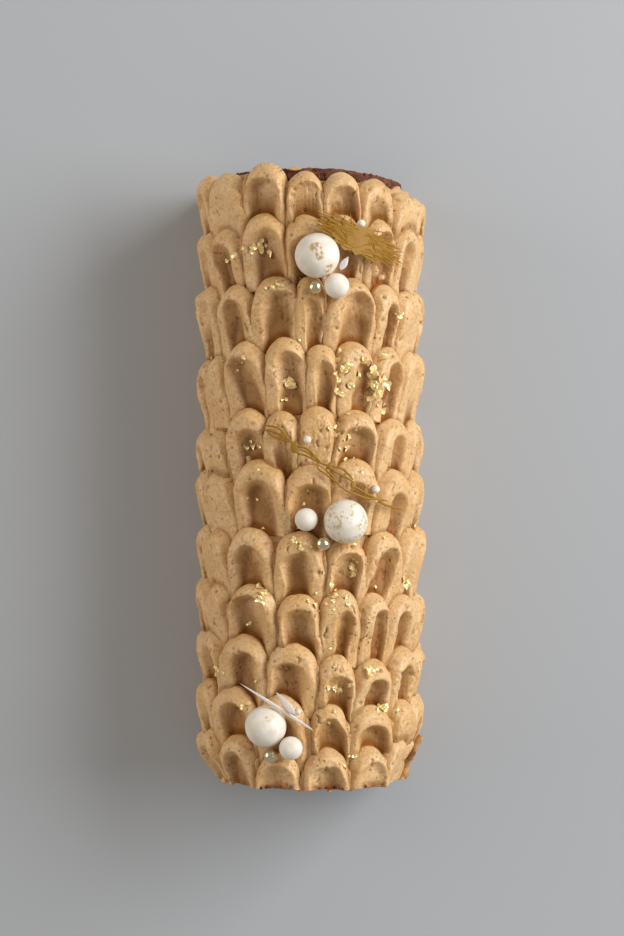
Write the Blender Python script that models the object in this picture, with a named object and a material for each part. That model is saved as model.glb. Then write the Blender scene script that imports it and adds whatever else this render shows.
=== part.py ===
"""Yule log cake: a sponge log with bare ends, one coat of spooned buttercream petals, and its toppings.

Metres, +Z up, the log along Y. Lengths in the constants and tables are millimetres. Places are given from the
middle of the log at table level and the whole cake is moved at the end so that its box sits centred on the origin.
"""

import math
import random

import bmesh
import bpy
import numpy as np
from mathutils import Vector

MM = 0.001
GAP = 0.3

# Driving dimensions.
AXIS_HEIGHT = 32.0
SPONGE_RADIUS = 41.0
SPONGE_CORNER = 8.0
SPONGE_FAR = 134.3
SPONGE_NEAR = -133.2
COAT_RADIUS = 44.0
CREST_RADIUS = 51.0
COAT_FAR = 127.8
COAT_NEAR = -132.6
THINNEST = -1.5
LEG_LEAN = 0.08
PETAL_HEIGHT = 7.8
RIM_ROUND = 5.6
TAIL_LENGTH = 38.0
SIDE_PETAL_WIDTH = 19.0
COLUMNS = 60
HALF_GIRTH = CREST_RADIUS * math.pi / 2 + AXIS_HEIGHT
SEED = 24

# One list per row from the far end to the near end. A petal is (left x, right x, front y) and, where it was
# spooned out, (scoop left x, scoop right x, scoop top y). The petals further down the sides are worked out.
ROWS = (
    ((-46, -29.5, 132.8), (-30, -11, 135.5, -27, -16.5, 128.5), (-11, 5.5, 131, -6.5, 3, 126),
     (5.5, 22.5, 131, 9.5, 18, 123.5), (21.5, 37, 129, 26, 33, 121), (37, 47.5, 125)),
    ((-44, -31.5, 109.5, -42, -36, 101.5), (-31.5, -11, 114, -25.5, -12.5, 106.5),
     (-11, 7, 113, -8, 4, 103.5), (6, 23.5, 113.5, 10, 20, 104), (24, 38, 112.5, 28.5, 37, 106),
     (38, 48.5, 111, 41, 45, 103)),
    ((-42, -26, 84, -37.5, -30, 77.5), (-26.5, -5.5, 87, -20.5, -7, 80), (-6.5, 6.5, 87, -2, 4, 77),
     (7, 29, 86, 13.5, 26, 79.5), (29, 40, 84, 34, 38.5, 75), (40, 48.5, 82)),
    ((-47, -38.5, 54.5), (-38.5, -20.5, 59, -36.5, -25.5, 52), (-21, -2, 60.5, -15, -3.5, 54),
     (-2, 11.5, 57.5, 2, 9.5, 50), (11, 28.5, 59, 20, 27.5, 50), (28, 42, 57, 34, 40, 50)),
    ((-47.5, -37.5, 21), (-37.5, -20.5, 30.5, -33, -22, 21), (-21, -5.5, 29.5, -17, -9, 20),
     (-5, 11, 31.5), (11, 30, 29.5, 13.5, 27, 22), (29.5, 45.5, 26.5, 36, 41, 19)),
    ((-48, -34.5, 4), (-35, -11, 8.5, -30, -16, -1), (-11, 10, 6.5, -7.5, 8, -2),
     (10, 30, 8.5, 14, 26, -2), (29.5, 45.5, 4, 36, 42, -6.5)),
    ((-47, -37, -22), (-37.5, -17, -21, -33, -20, -29), (-16.5, 6, -22, -11.5, 0, -31),
     (7, 25, -25.5, 10.5, 22, -31.5), (25, 42, -22.5, 31, 39.5, -30)),
    ((-47, -38, -45), (-37.5, -15, -45, -34, -20.5, -50), (-15, 4, -48.5, -12, 0.5, -56),
     (4, 22.5, -47.5, 12, 18, -57), (22.5, 35.5, -49, 28, 34, -56), (35.5, 48, -50)),
    ((-41.5, -19.5, -67, -35, -23.5, -75), (-19.5, 3, -70, -16, -2.5, -79), (3, 19.5, -75, 6, 16.5, -84),
     (19.5, 36.5, -77.5, 25, 33, -86), (36.5, 48, -73)),
    ((-45, -25, -90, -39, -27, -97), (-24, -2, -92.5, -19, -7, -101), (0, 17, -96.5, 3, 15, -103),
     (17.5, 37.5, -97.5, 21, 34, -106), (37.5, 46.5, -96)),
    ((-42, -25, -110.5, -38.5, -28, -118), (-25, -4.5, -117.5, -22, -7, -123), (-3, 17, -115, 0, 13.5, -122.5),
     (17.5, 34.5, -115, 22, 32, -121), (34.5, 45.5, -112)),
)

# Balls and pearls: name, x, y, distance of the centre from the log's axis, radius.
BALLS = (
    ("ball_big_1", 2.8, 94.8, 54.6, 9.5),
    ("ball_big_2", 14.9, -17.8, 54.2, 9.4),
    ("ball_big_3", -19.1, -105.0, 53.6, 8.8),
    ("ball_small_1", 11.2, 81.9, 56.6, 5.3),
    ("ball_small_2", -1.7, -17.0, 51.4, 4.9),
    ("ball_small_3", -8.2, -113.6, 55.6, 5.0),
    ("pearl_silver_1", 2.1, 81.4, 54.6, 3.0),
    ("pearl_silver_2", 5.4, -27.2, 53.4, 3.0),
    ("pearl_silver_3", -16.9, -117.6, 52.8, 3.0),
    ("pearl_mini_1", 21.6, 109.0, 52.9, 1.8),
    ("pearl_mini_2", -1.4, 17.0, 52.6, 1.7),
    ("pearl_mini_3", 27.8, -4.2, 52.4, 1.8),
    ("pearl_mini_4", -5.4, -98.4, 52.9, 1.5),
)

# The gold wire sprig: strands as plan points, followed over the top of the petals.
WIRE_RADIUS = 53.6
WIRE_WIDTH = 1.15
WIRE_STRANDS = (
    ((-19.5, 23), (-15, 22.3), (-11.5, 20), (-9.5, 17.2), (-7, 15.2)),
    ((-21.5, 21.2), (-16.8, 20.6), (-12.5, 18.8), (-9, 16.9)),
    ((-18.6, 20.4), (-15.8, 18.2), (-12, 16.9), (-8.6, 16.1)),
    ((-8.4, 16.6), (-6.4, 14.6), (-1.5, 13), (1.4, 10.4), (4.6, 7), (8.3, 5.9), (12.5, 5), (15.2, 3.2), (18, 0)),
    ((-7.4, 15.6), (-5.6, 11.4), (-2, 10.2), (1, 8.6), (4.9, 6.6)),
    ((3.2, 7.8), (3, 5), (6.2, 2.4), (10.8, -1), (13.4, -3.5), (17, -5.6), (21, -7)),
    ((8, 6.3), (10.4, 3.4), (14.6, 1.2), (17.4, -0.6), (18.4, -3), (16.6, -5.6)),
    ((17.9, -2.6), (21.4, -4.6), (24, -6.2), (28, -8.2), (31.4, -10.6), (35, -11.8), (38.5, -12.6)),
)
WIRE_BLOBS = ((-11.6, 18.3, 2.0), (-6.8, 13.6, 2.6), (8.4, 5.6, 1.9), (18.0, -2.2, 1.9), (22.6, -5.6, 1.6))

# The gold fir sprig: its middle, half length, half width and slant across the log.
FIR_MIDDLE = (20.5, 101.5)
FIR_HALF = (22.0, 8.6)
FIR_TURN = math.radians(-33)
FIR_HEIGHT = 84.6
FIR_SPIKES = 26
SPRIG_THICK = 0.9

# White sugar slivers: name, start and end points, width, thickness.
SLIVERS = (
    ("needle_white", (-29.9, -85.9, 88.6), (1.2, -106.4, 84.4), 1.8, 1.2),
    ("shard_white_1", (-13.9, -91.0, 86.4), (-8.4, -97.4, 87.4), 3.1, 1.0),
    ("shard_white_2", (15.8, 94.4, 84.6), (12.8, 89.2, 85.6), 2.4, 0.9),
)

COLOURS = {
    "sponge": ((0.20, 0.055, 0.035), 0.9),
    "buttercream": ((0.55, 0.36, 0.20), 0.55),
    "white_ball": ((0.86, 0.80, 0.72), 0.45),
    "silver": ((0.62, 0.58, 0.50), 0.22),
    "gold": ((0.50, 0.27, 0.06), 0.35),
    "sugar": ((0.85, 0.80, 0.74), 0.3),
}


def clear_scene():
    for thing in list(bpy.data.objects):
        bpy.data.objects.remove(thing, do_unlink=True)


def material(name):
    found = bpy.data.materials.get(name)
    if found:
        return found
    colour, rough = COLOURS[name]
    made = bpy.data.materials.new(name)
    made.use_nodes = True
    shader = made.node_tree.nodes["Principled BSDF"]
    shader.inputs["Base Color"].default_value = (*colour, 1)
    shader.inputs["Roughness"].default_value = rough
    made.diffuse_color = (*colour, 1)
    return made


def mesh_object(name, points, faces, slot=None):
    """An object from points in millimetres, with its faces turned outwards."""
    mesh = bpy.data.meshes.new(name)
    mesh.from_pydata([Vector(p) * MM for p in points], [], faces)
    made = bpy.data.objects.new(name, mesh)
    bpy.context.scene.collection.objects.link(made)
    shape = bmesh.new()
    shape.from_mesh(mesh)
    bmesh.ops.recalc_face_normals(shape, faces=shape.faces)
    shape.to_mesh(mesh)
    shape.free()
    if slot:
        mesh.materials.append(material(slot))
    return made


def boolean(target, other, operation):
    """Applies one exact Boolean to the target and removes the other object."""
    step = target.modifiers.new("step", "BOOLEAN")
    step.operation = operation
    step.solver = "EXACT"
    step.object = other
    bpy.context.view_layer.update()
    evaluated = target.evaluated_get(bpy.context.evaluated_depsgraph_get())
    mesh = bpy.data.meshes.new_from_object(evaluated)
    target.modifiers.clear()
    target.data = mesh
    bpy.data.objects.remove(other, do_unlink=True)


def across(x):
    """Girth position of a point seen at x from above, measured at the crests."""
    return CREST_RADIUS * math.asin(max(-1.0, min(1.0, x / CREST_RADIUS)))


def row_petals():
    """Every row's petals, left to right: dicts of girth position, half width, front y and scoop."""
    chance = random.Random(SEED)
    rows = []
    for listed in ROWS:
        seen = [measured_petal(p, chance) for p in listed]
        left, right = seen[0]["s"] - seen[0]["w"], seen[-1]["s"] + seen[-1]["w"]
        rows.append(
            side_petals(-HALF_GIRTH, left, seen[0]["y"], chance)
            + seen
            + side_petals(right, HALF_GIRTH, seen[-1]["y"], chance)
        )
    return rows


def measured_petal(entry, chance):
    left, right = across(entry[0]), across(entry[1])
    petal = {
        "s": (left + right) / 2,
        "w": (right - left) / 2,
        "y": entry[2],
        "high": PETAL_HEIGHT * chance.uniform(0.93, 1.05),
        "depth": 0.0,
    }
    if len(entry) == 6:
        scoop_left, scoop_right = across(entry[3]), across(entry[4])
        petal["scoop"] = (scoop_left + scoop_right) / 2
        petal["scoop_w"] = (scoop_right - scoop_left) / 2
        petal["scoop_y"] = entry[5]
        petal["depth"] = 4.6
    return petal


def side_petals(start, end, y, chance):
    """Petals down a side, evenly spaced with a little unevenness."""
    count = round((end - start) / SIDE_PETAL_WIDTH)
    step = (end - start) / count
    made = []
    for i in range(count):
        middle = start + (i + 0.5) * step + chance.uniform(-0.6, 0.6)
        top = y + chance.uniform(-2.5, 2.0)
        made.append(
            {
                "s": middle,
                "w": step * chance.uniform(0.5, 0.54),
                "y": top,
                "high": PETAL_HEIGHT * chance.uniform(0.85, 1.0),
                "scoop": middle + chance.uniform(-1.2, 1.2),
                "scoop_w": step * chance.uniform(0.26, 0.34),
                "scoop_y": top - chance.uniform(7.0, 9.5),
                "depth": 4.2,
            }
        )
    return made


def smooth(t):
    t = np.clip(t, 0, 1)
    return t * t * (3 - 2 * t)


def petal_height(petal, s, y):
    """Height of one petal over the coat at girth s and length y; far below zero off the petal."""
    a, b, w = s - petal["s"], petal["y"] - y, petal["w"]
    half = w * (1 - 0.2 * smooth((b - w) / (TAIL_LENGTH - w)))
    inside = np.where(b < w, w - np.hypot(a, w - b), half - np.abs(a))
    rim = np.sqrt(np.clip(1 - (1 - np.clip(inside / RIM_ROUND, 0, 1)) ** 2, 0, 1))
    body = petal["high"] * (1 - 0.62 * smooth((b - 7) / (TAIL_LENGTH - 12)))
    height = body * rim
    if petal["depth"]:
        q = np.clip(np.abs(a + petal["s"] - petal["scoop"]) / petal["scoop_w"], 0, 1)
        edge = petal["y"] - petal["scoop_y"] + 0.8 * petal["scoop_w"] * (1 - np.sqrt(1 - q * q))
        wall = 1 - (1 - np.clip((b - edge) / 3.6, 0, 1)) ** 2
        height = height - petal["depth"] * wall * (1 - q * q) ** 0.7
    return np.where((inside > 0) & (b < TAIL_LENGTH), height, -9.0)


def coat_height(rows, s, y):
    """The coat's relief: the highest petal at each place, never under the even base layer."""
    height = np.full(np.shape(s), 0.0)
    for petals in rows:
        for petal in petals:
            height = np.maximum(height, petal_height(petal, s, y))
    return height


def end_drop(s, y):
    """How much lower the coat lies towards the near end's corners, where it was drawn out thin."""
    start = np.where(s > 0, -109.0, -117.0)
    along = smooth((start - y) / np.where(s > 0, 25.0, 21.0))
    return np.where(s > 0, 9.0, 7.5) * along * smooth((np.abs(s) - 34) / 22)


def on_section(s, height):
    """The (x, z) of a point at girth s and a height over the coat's base layer."""
    arc = CREST_RADIUS * math.pi / 2
    side = math.copysign(1, s)
    if abs(s) <= arc:
        angle = s / CREST_RADIUS
        out = COAT_RADIUS + height
        return out * math.sin(angle), AXIS_HEIGHT + out * math.cos(angle)
    down = min(abs(s) - arc, AXIS_HEIGHT)
    return side * (COAT_RADIUS + height - LEG_LEAN * down), AXIS_HEIGHT - down


def column_girths(petals):
    """Evenly spread columns round the coat, moved so that one stands in each crease of a row."""
    edges = [-HALF_GIRTH]
    for one, two in zip(petals, petals[1:]):
        edges.append((one["s"] + one["w"] + two["s"] - two["w"]) / 2)
    edges.append(HALF_GIRTH)
    knots = [round((e + HALF_GIRTH) / (2 * HALF_GIRTH) * COLUMNS) for e in edges]
    return np.interp(range(COLUMNS + 1), knots, edges)


def front_line(petals, s):
    """The scalloped line of a row's petal fronts."""
    line = np.full(len(s), COAT_FAR if petals[-1]["y"] > 120 else -1e9)
    for petal in petals:
        a = np.abs(s - petal["s"]) / petal["w"]
        arch = petal["w"] * (1 - np.sqrt(np.clip(1 - a * a, 0.12, 1)))
        line = np.maximum(line, np.where(a < 1.25, petal["y"] - arch, -1e9))
    return line


def between_fronts(rows, i, s, share):
    """Places part of the way from one row's front line to the next row's, or to the near end."""
    front = front_line(rows[i], s)
    if i + 1 < len(rows):
        following = front_line(rows[i + 1], s)
    else:
        following = np.full(len(s), COAT_NEAR - 4.0)
    return front - share * np.maximum(front - following, 8.0)


def coat_grid(rows):
    """Grid lines across the coat, each a list of (girth, y), following the petal fronts."""
    girths = [column_girths(petals) for petals in rows]
    lines = []
    for i, petals in enumerate(rows):
        s = girths[i]
        drift = (s + girths[min(i + 1, len(rows) - 1)]) / 2
        if i:
            lines.append((s, front_line(petals, s) + 0.5))
        lines.append((s, front_line(petals, s) - 0.9))
        lines.append((s, between_fronts(rows, i, s, 0.16)))
        lines.append((s, between_fronts(rows, i, s, 0.36)))
        lines.append((drift, between_fronts(rows, i, drift, 0.66)))
    lines.append((girths[-1], np.full(COLUMNS + 1, COAT_NEAR)))
    return lines


def ring_points(s, y, height):
    """The points of one line across the coat."""
    points = []
    for a, b, h in zip(s, y, height):
        x, z = on_section(a, h)
        points.append((x, b, z))
    return points


def coat_body(rows):
    """The coat: the petals' relief outside, the sponge's room inside, open at both ends and underneath."""
    lines = coat_grid(rows)
    rings = []
    for s, y in lines:
        y = np.maximum(y, COAT_NEAR)
        height = np.maximum(coat_height(rows, s, y) - end_drop(s, y), THINNEST)
        rings.append(ring_points(s, y, height))
    inner = np.full(len(lines[0][0]), SPONGE_RADIUS + GAP - COAT_RADIUS)
    rings.append(ring_points(lines[-1][0], np.full(len(inner), COAT_NEAR), inner))
    rings.append(ring_points(lines[-1][0], lines[0][1], inner))
    size, count = len(inner), len(rings)
    faces = []
    for i in range(count):
        a, b = i * size, (i + 1) % count * size
        faces += [(a + j, a + j + 1, b + j + 1, b + j) for j in range(size - 1)]
    faces.append(tuple(i * size for i in range(count)))
    faces.append(tuple(i * size + size - 1 for i in range(count)))
    points = [p for ring in rings for p in ring]
    return mesh_object("buttercream_coat", points, faces, "buttercream")


def sponge_outline():
    """The sponge's section: a round top, upright sides and rounded lower corners on a flat base."""
    steps = [math.pi / 2 - i * math.pi / 18 for i in range(19)]
    outline = [(SPONGE_RADIUS * math.sin(a), AXIS_HEIGHT + SPONGE_RADIUS * math.cos(a)) for a in steps]
    for side in (-1, 1):
        corner = []
        for i in range(4):
            angle = i * math.pi / 6
            x = SPONGE_RADIUS - SPONGE_CORNER - 2.0 + SPONGE_CORNER * math.cos(angle)
            z = SPONGE_CORNER - SPONGE_CORNER * math.sin(angle)
            corner.append((side * x, z))
        outline.extend(corner if side < 0 else corner[::-1])
    return outline


def extruded(name, outline, near, far, slot=None):
    size = len(outline)
    points = [(x, near, z) for x, z in outline] + [(x, far, z) for x, z in outline]
    faces = [(i, (i + 1) % size, size + (i + 1) % size, size + i) for i in range(size)]
    faces += [tuple(range(size)), tuple(range(size, 2 * size))]
    return mesh_object(name, points, faces, slot)


def sponge_log():
    """The sponge, with its end edges eased a little."""
    made = extruded("sponge_log", sponge_outline(), SPONGE_NEAR + 1.0, SPONGE_FAR - 1.0, "sponge")
    shape = bmesh.new()
    shape.from_mesh(made.data)
    ends = [f for f in shape.faces if len(f.verts) > 4]
    middle = Vector((0, 0, AXIS_HEIGHT * MM))
    for face in ends:
        out = face.normal.copy()
        fresh = bmesh.ops.extrude_discrete_faces(shape, faces=[face])["faces"][0]
        for v in fresh.verts:
            flat = v.co - middle
            flat.y = 0
            v.co += out * 1.0 * MM - flat.normalized() * 0.8 * MM
    for v in shape.verts:
        v.co.z = max(v.co.z, 0.0)
    shape.to_mesh(made.data)
    shape.free()
    return made


def ball_centre(x, out):
    return x, AXIS_HEIGHT + math.sqrt(out * out - x * x)


def ball(name, x, y, out, radius, segments, rings, slot=None):
    centre_x, centre_z = ball_centre(x, out)
    points = [(centre_x, y, centre_z + radius)]
    for i in range(1, rings):
        tilt = math.pi * i / rings
        for j in range(segments):
            turn = 2 * math.pi * (j + 0.5 * (i % 2)) / segments
            points.append(
                (
                    centre_x + radius * math.sin(tilt) * math.cos(turn),
                    y + radius * math.sin(tilt) * math.sin(turn),
                    centre_z + radius * math.cos(tilt),
                )
            )
    points.append((centre_x, y, centre_z - radius))
    last = len(points) - 1
    faces = []
    for j in range(segments):
        k = (j + 1) % segments
        faces.append((0, 1 + j, 1 + k))
        faces.append((last, last - segments + k, last - segments + j))
        for i in range(rings - 2):
            a, b = 1 + i * segments, 1 + (i + 1) * segments
            if i % 2:
                faces.append((a + j, b + j, b + k))
                faces.append((a + j, b + k, a + k))
            else:
                faces.append((a + j, b + j, a + k))
                faces.append((a + k, b + j, b + k))
    return mesh_object(name, points, faces, slot)


def ball_detail(name):
    if "big" in name:
        return 12, 8, "white_ball"
    if "small" in name:
        return 9, 6, "white_ball"
    if "silver" in name:
        return 8, 5, "silver"
    return 6, 4, "white_ball"


def make_balls(coat):
    """The balls and pearls, each in its own dent in the coat."""
    for name, x, y, out, radius in BALLS:
        segments, rings, slot = ball_detail(name)
        boolean(coat, ball("dent", x, y, out, radius + GAP, segments, rings), "DIFFERENCE")
        ball(name, x, y, out, radius, segments, rings, slot)


def over_petals(x, y, lift):
    """A point over the crests and the outward direction there."""
    radius = WIRE_RADIUS + lift
    outward = Vector((x / radius, 0, math.sqrt(1 - (x / radius) ** 2)))
    return Vector((outward.x * radius, y, AXIS_HEIGHT + outward.z * radius)), outward


def strand(plan, width, thick, lift):
    """A flat-sided strand that follows plan points over the petals."""
    points = []
    for i, (x, y) in enumerate(plan):
        centre, outward = over_petals(x, y, lift)
        before = over_petals(*plan[max(i - 1, 0)], lift)[0]
        after = over_petals(*plan[min(i + 1, len(plan) - 1)], lift)[0]
        side = (after - before).normalized().cross(outward).normalized()
        for across_share, up_share in ((-1, -1), (1, -1), (1, 1), (-1, 1)):
            points.append(centre + side * width / 2 * across_share + outward * thick / 2 * up_share)
    faces = [(0, 1, 2, 3), tuple(len(points) - 4 + i for i in range(4))]
    for i in range(len(plan) - 1):
        for j in range(4):
            k = (j + 1) % 4
            faces.append((4 * i + j, 4 * i + k, 4 * i + 4 + k, 4 * i + 4 + j))
    return mesh_object("strand", points, faces)


def blob(x, y, radius, lift):
    """A thicker spot where strands meet."""
    centre, outward = over_petals(x, y, lift)
    side = Vector((0, 1, 0)).cross(outward)
    points = []
    for up in (-0.55, 0.55):
        for i in range(7):
            turn = 2 * math.pi * i / 7
            spot = centre + side * radius * 0.75 * math.cos(turn) + Vector((0, 1, 0)) * radius * math.sin(turn)
            points.append(spot + outward * up)
    faces = [tuple(range(7)), tuple(range(7, 14))]
    faces += [(i, (i + 1) % 7, 7 + (i + 1) % 7, 7 + i) for i in range(7)]
    return mesh_object("blob", points, faces)


def sprig_wire():
    """The long gold sprig: bent strands and blobs joined into one piece."""
    made = strand(WIRE_STRANDS[0], WIRE_WIDTH, SPRIG_THICK, 0)
    made.name = "sprig_wire"
    for i, (x, y, radius) in enumerate(WIRE_BLOBS):
        boolean(made, blob(x, y, radius, 0.03 + 0.013 * i), "UNION")
    for i, plan in enumerate(WIRE_STRANDS[1:]):
        piece = strand(plan, WIRE_WIDTH * (1.04 + 0.03 * i), SPRIG_THICK * (0.9 - 0.02 * i), 0.017 * (i + 1))
        boolean(made, piece, "UNION")
    made.data.materials.clear()
    made.data.materials.append(material("gold"))
    return made


def fir_point(u, v, up):
    """A point of the fir sprig, whose plane slopes down to the right and bends a little over the log."""
    x = FIR_MIDDLE[0] + u * math.cos(FIR_TURN) - v * math.sin(FIR_TURN)
    y = FIR_MIDDLE[1] + u * math.sin(FIR_TURN) + v * math.cos(FIR_TURN)
    off = x - FIR_MIDDLE[0]
    return x, y, FIR_HEIGHT - 0.40 * off - 0.007 * off * off + up


def near_first_ball(u, v):
    """Whether a point of the fir sprig comes too close to the big ball beside it."""
    _, x, y, out, radius = BALLS[0]
    middle_x, middle_z = ball_centre(x, out)
    return (Vector(fir_point(u, v, 0)) - Vector((middle_x, y, middle_z))).length < radius + 1.3


def sprig_fir():
    """The fir sprig: a spiky flat piece, long needles along it and short ones at its sides."""
    chance = random.Random(SEED + 1)
    outline = []
    for i in range(FIR_SPIKES):
        turn = 2 * math.pi * i / FIR_SPIKES
        reach = chance.uniform(0.8, 1.06)
        while near_first_ball(FIR_HALF[0] * math.cos(turn) * reach, FIR_HALF[1] * math.sin(turn) * reach):
            reach -= 0.03
        outline.append((FIR_HALF[0] * math.cos(turn) * reach, FIR_HALF[1] * math.sin(turn) * reach))
        turn += math.pi / FIR_SPIKES
        outline.append((0.42 * FIR_HALF[0] * math.cos(turn), 0.7 * FIR_HALF[1] * math.sin(turn)))
    size = len(outline)
    points = []
    for up in (-SPRIG_THICK / 2, SPRIG_THICK / 2):
        points += [fir_point(u, v, up) for u, v in outline]
    points += [fir_point(0, 0, -SPRIG_THICK / 2), fir_point(0, 0, SPRIG_THICK / 2 + 0.2)]
    faces = []
    for i in range(size):
        k = (i + 1) % size
        faces.append((i, k, size + k, size + i))
        faces.append((2 * size, k, i))
        faces.append((2 * size + 1, size + i, size + k))
    return mesh_object("sprig_fir", points, faces, "gold")


def sliver(name, start, end, width, thick):
    """A thin pointed piece, widest past its middle."""
    start, end = Vector(start), Vector(end)
    along = (end - start).normalized()
    side = along.cross(Vector((0, 0, 1))).normalized()
    up = side.cross(along)
    points = [start]
    for share, size in ((0.12, 0.55), (0.35, 0.9), (0.62, 1.0), (0.88, 0.6)):
        centre = start.lerp(end, share)
        for i in range(6):
            turn = math.pi * i / 3
            spot = side * width / 2 * math.cos(turn) + up * thick / 2 * math.sin(turn)
            points.append(centre + spot * size)
    points.append(end)
    last = len(points) - 1
    faces = []
    for i in range(6):
        k = (i + 1) % 6
        faces.append((0, 1 + k, 1 + i))
        faces.append((last, last - 6 + i, last - 6 + k))
        for ring in range(3):
            a, b = 1 + 6 * ring, 7 + 6 * ring
            faces.append((a + i, a + k, b + k, b + i))
    return mesh_object(name, points, faces, "sugar")


def centre_on_origin():
    """Moves everything so that the whole cake's box has its bottom centre at the origin."""
    corners = [v.co for thing in bpy.data.objects for v in thing.data.vertices]
    low = Vector([min(c[i] for c in corners) for i in range(3)])
    high = Vector([max(c[i] for c in corners) for i in range(3)])
    shift = Vector((-(low.x + high.x) / 2, -(low.y + high.y) / 2, -low.z))
    for thing in bpy.data.objects:
        for v in thing.data.vertices:
            v.co += shift


def main():
    clear_scene()
    rows = row_petals()
    coat = coat_body(rows)
    sponge_log()
    make_balls(coat)
    sprig_wire()
    sprig_fir()
    for name, start, end, width, thick in SLIVERS:
        sliver(name, start, end, width, thick)
    centre_on_origin()


main()
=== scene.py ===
"""The looks of a yule log cake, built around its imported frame: sponge, spooned buttercream petals and toppings."""

import math
import random

import bpy
import numpy as np
from bpy.props import FloatProperty, IntProperty, PointerProperty
from mathutils import Matrix, Vector


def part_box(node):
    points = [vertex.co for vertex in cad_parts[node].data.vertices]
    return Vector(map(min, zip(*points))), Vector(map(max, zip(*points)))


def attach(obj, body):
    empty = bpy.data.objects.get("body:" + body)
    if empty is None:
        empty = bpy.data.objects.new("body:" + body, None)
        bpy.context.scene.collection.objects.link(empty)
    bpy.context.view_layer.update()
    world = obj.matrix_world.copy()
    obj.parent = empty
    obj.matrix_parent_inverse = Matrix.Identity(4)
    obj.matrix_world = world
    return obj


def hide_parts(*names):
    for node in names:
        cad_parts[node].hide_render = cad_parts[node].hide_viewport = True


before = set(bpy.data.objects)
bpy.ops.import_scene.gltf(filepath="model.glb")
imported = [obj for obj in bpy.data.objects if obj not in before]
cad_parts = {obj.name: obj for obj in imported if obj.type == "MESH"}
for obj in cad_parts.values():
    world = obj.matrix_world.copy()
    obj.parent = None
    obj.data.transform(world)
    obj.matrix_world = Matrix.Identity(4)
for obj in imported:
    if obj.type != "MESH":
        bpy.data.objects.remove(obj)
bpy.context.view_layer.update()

bl_info = {
    "name": "Yule Log Cake",
    "version": (1, 0, 0),
    "blender": (4, 5, 0),
    "location": "View3D > Sidebar > Yule Log",
    "description": "Builds a yule log cake with spooned buttercream petals and its toppings",
    "category": "Object",
}

MM = 0.001

# Lengths below are millimetres, from the middle of the log at table level: x across, y along.
AXIS_HEIGHT = 32.0
SPONGE_RADIUS = 41.0
SPONGE_CORNER = 8.0
SPONGE_FAR = 134.3
SPONGE_NEAR = -133.2
COAT_RADIUS = 44.0
CREST_RADIUS = 51.0
COAT_FAR = 127.8
COAT_NEAR = -132.6
THINNEST = -1.5
BURIED = -3.0
FOLD_AT = (49.5, -113.9)
FOLD_ACROSS = (0.857, -0.516)
LEG_LEAN = 0.08
TAIL_LENGTH = 38.0
SIDE_PETAL_WIDTH = 19.0
HALF_GIRTH = CREST_RADIUS * math.pi / 2 + AXIS_HEIGHT
SEED = 24

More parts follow.
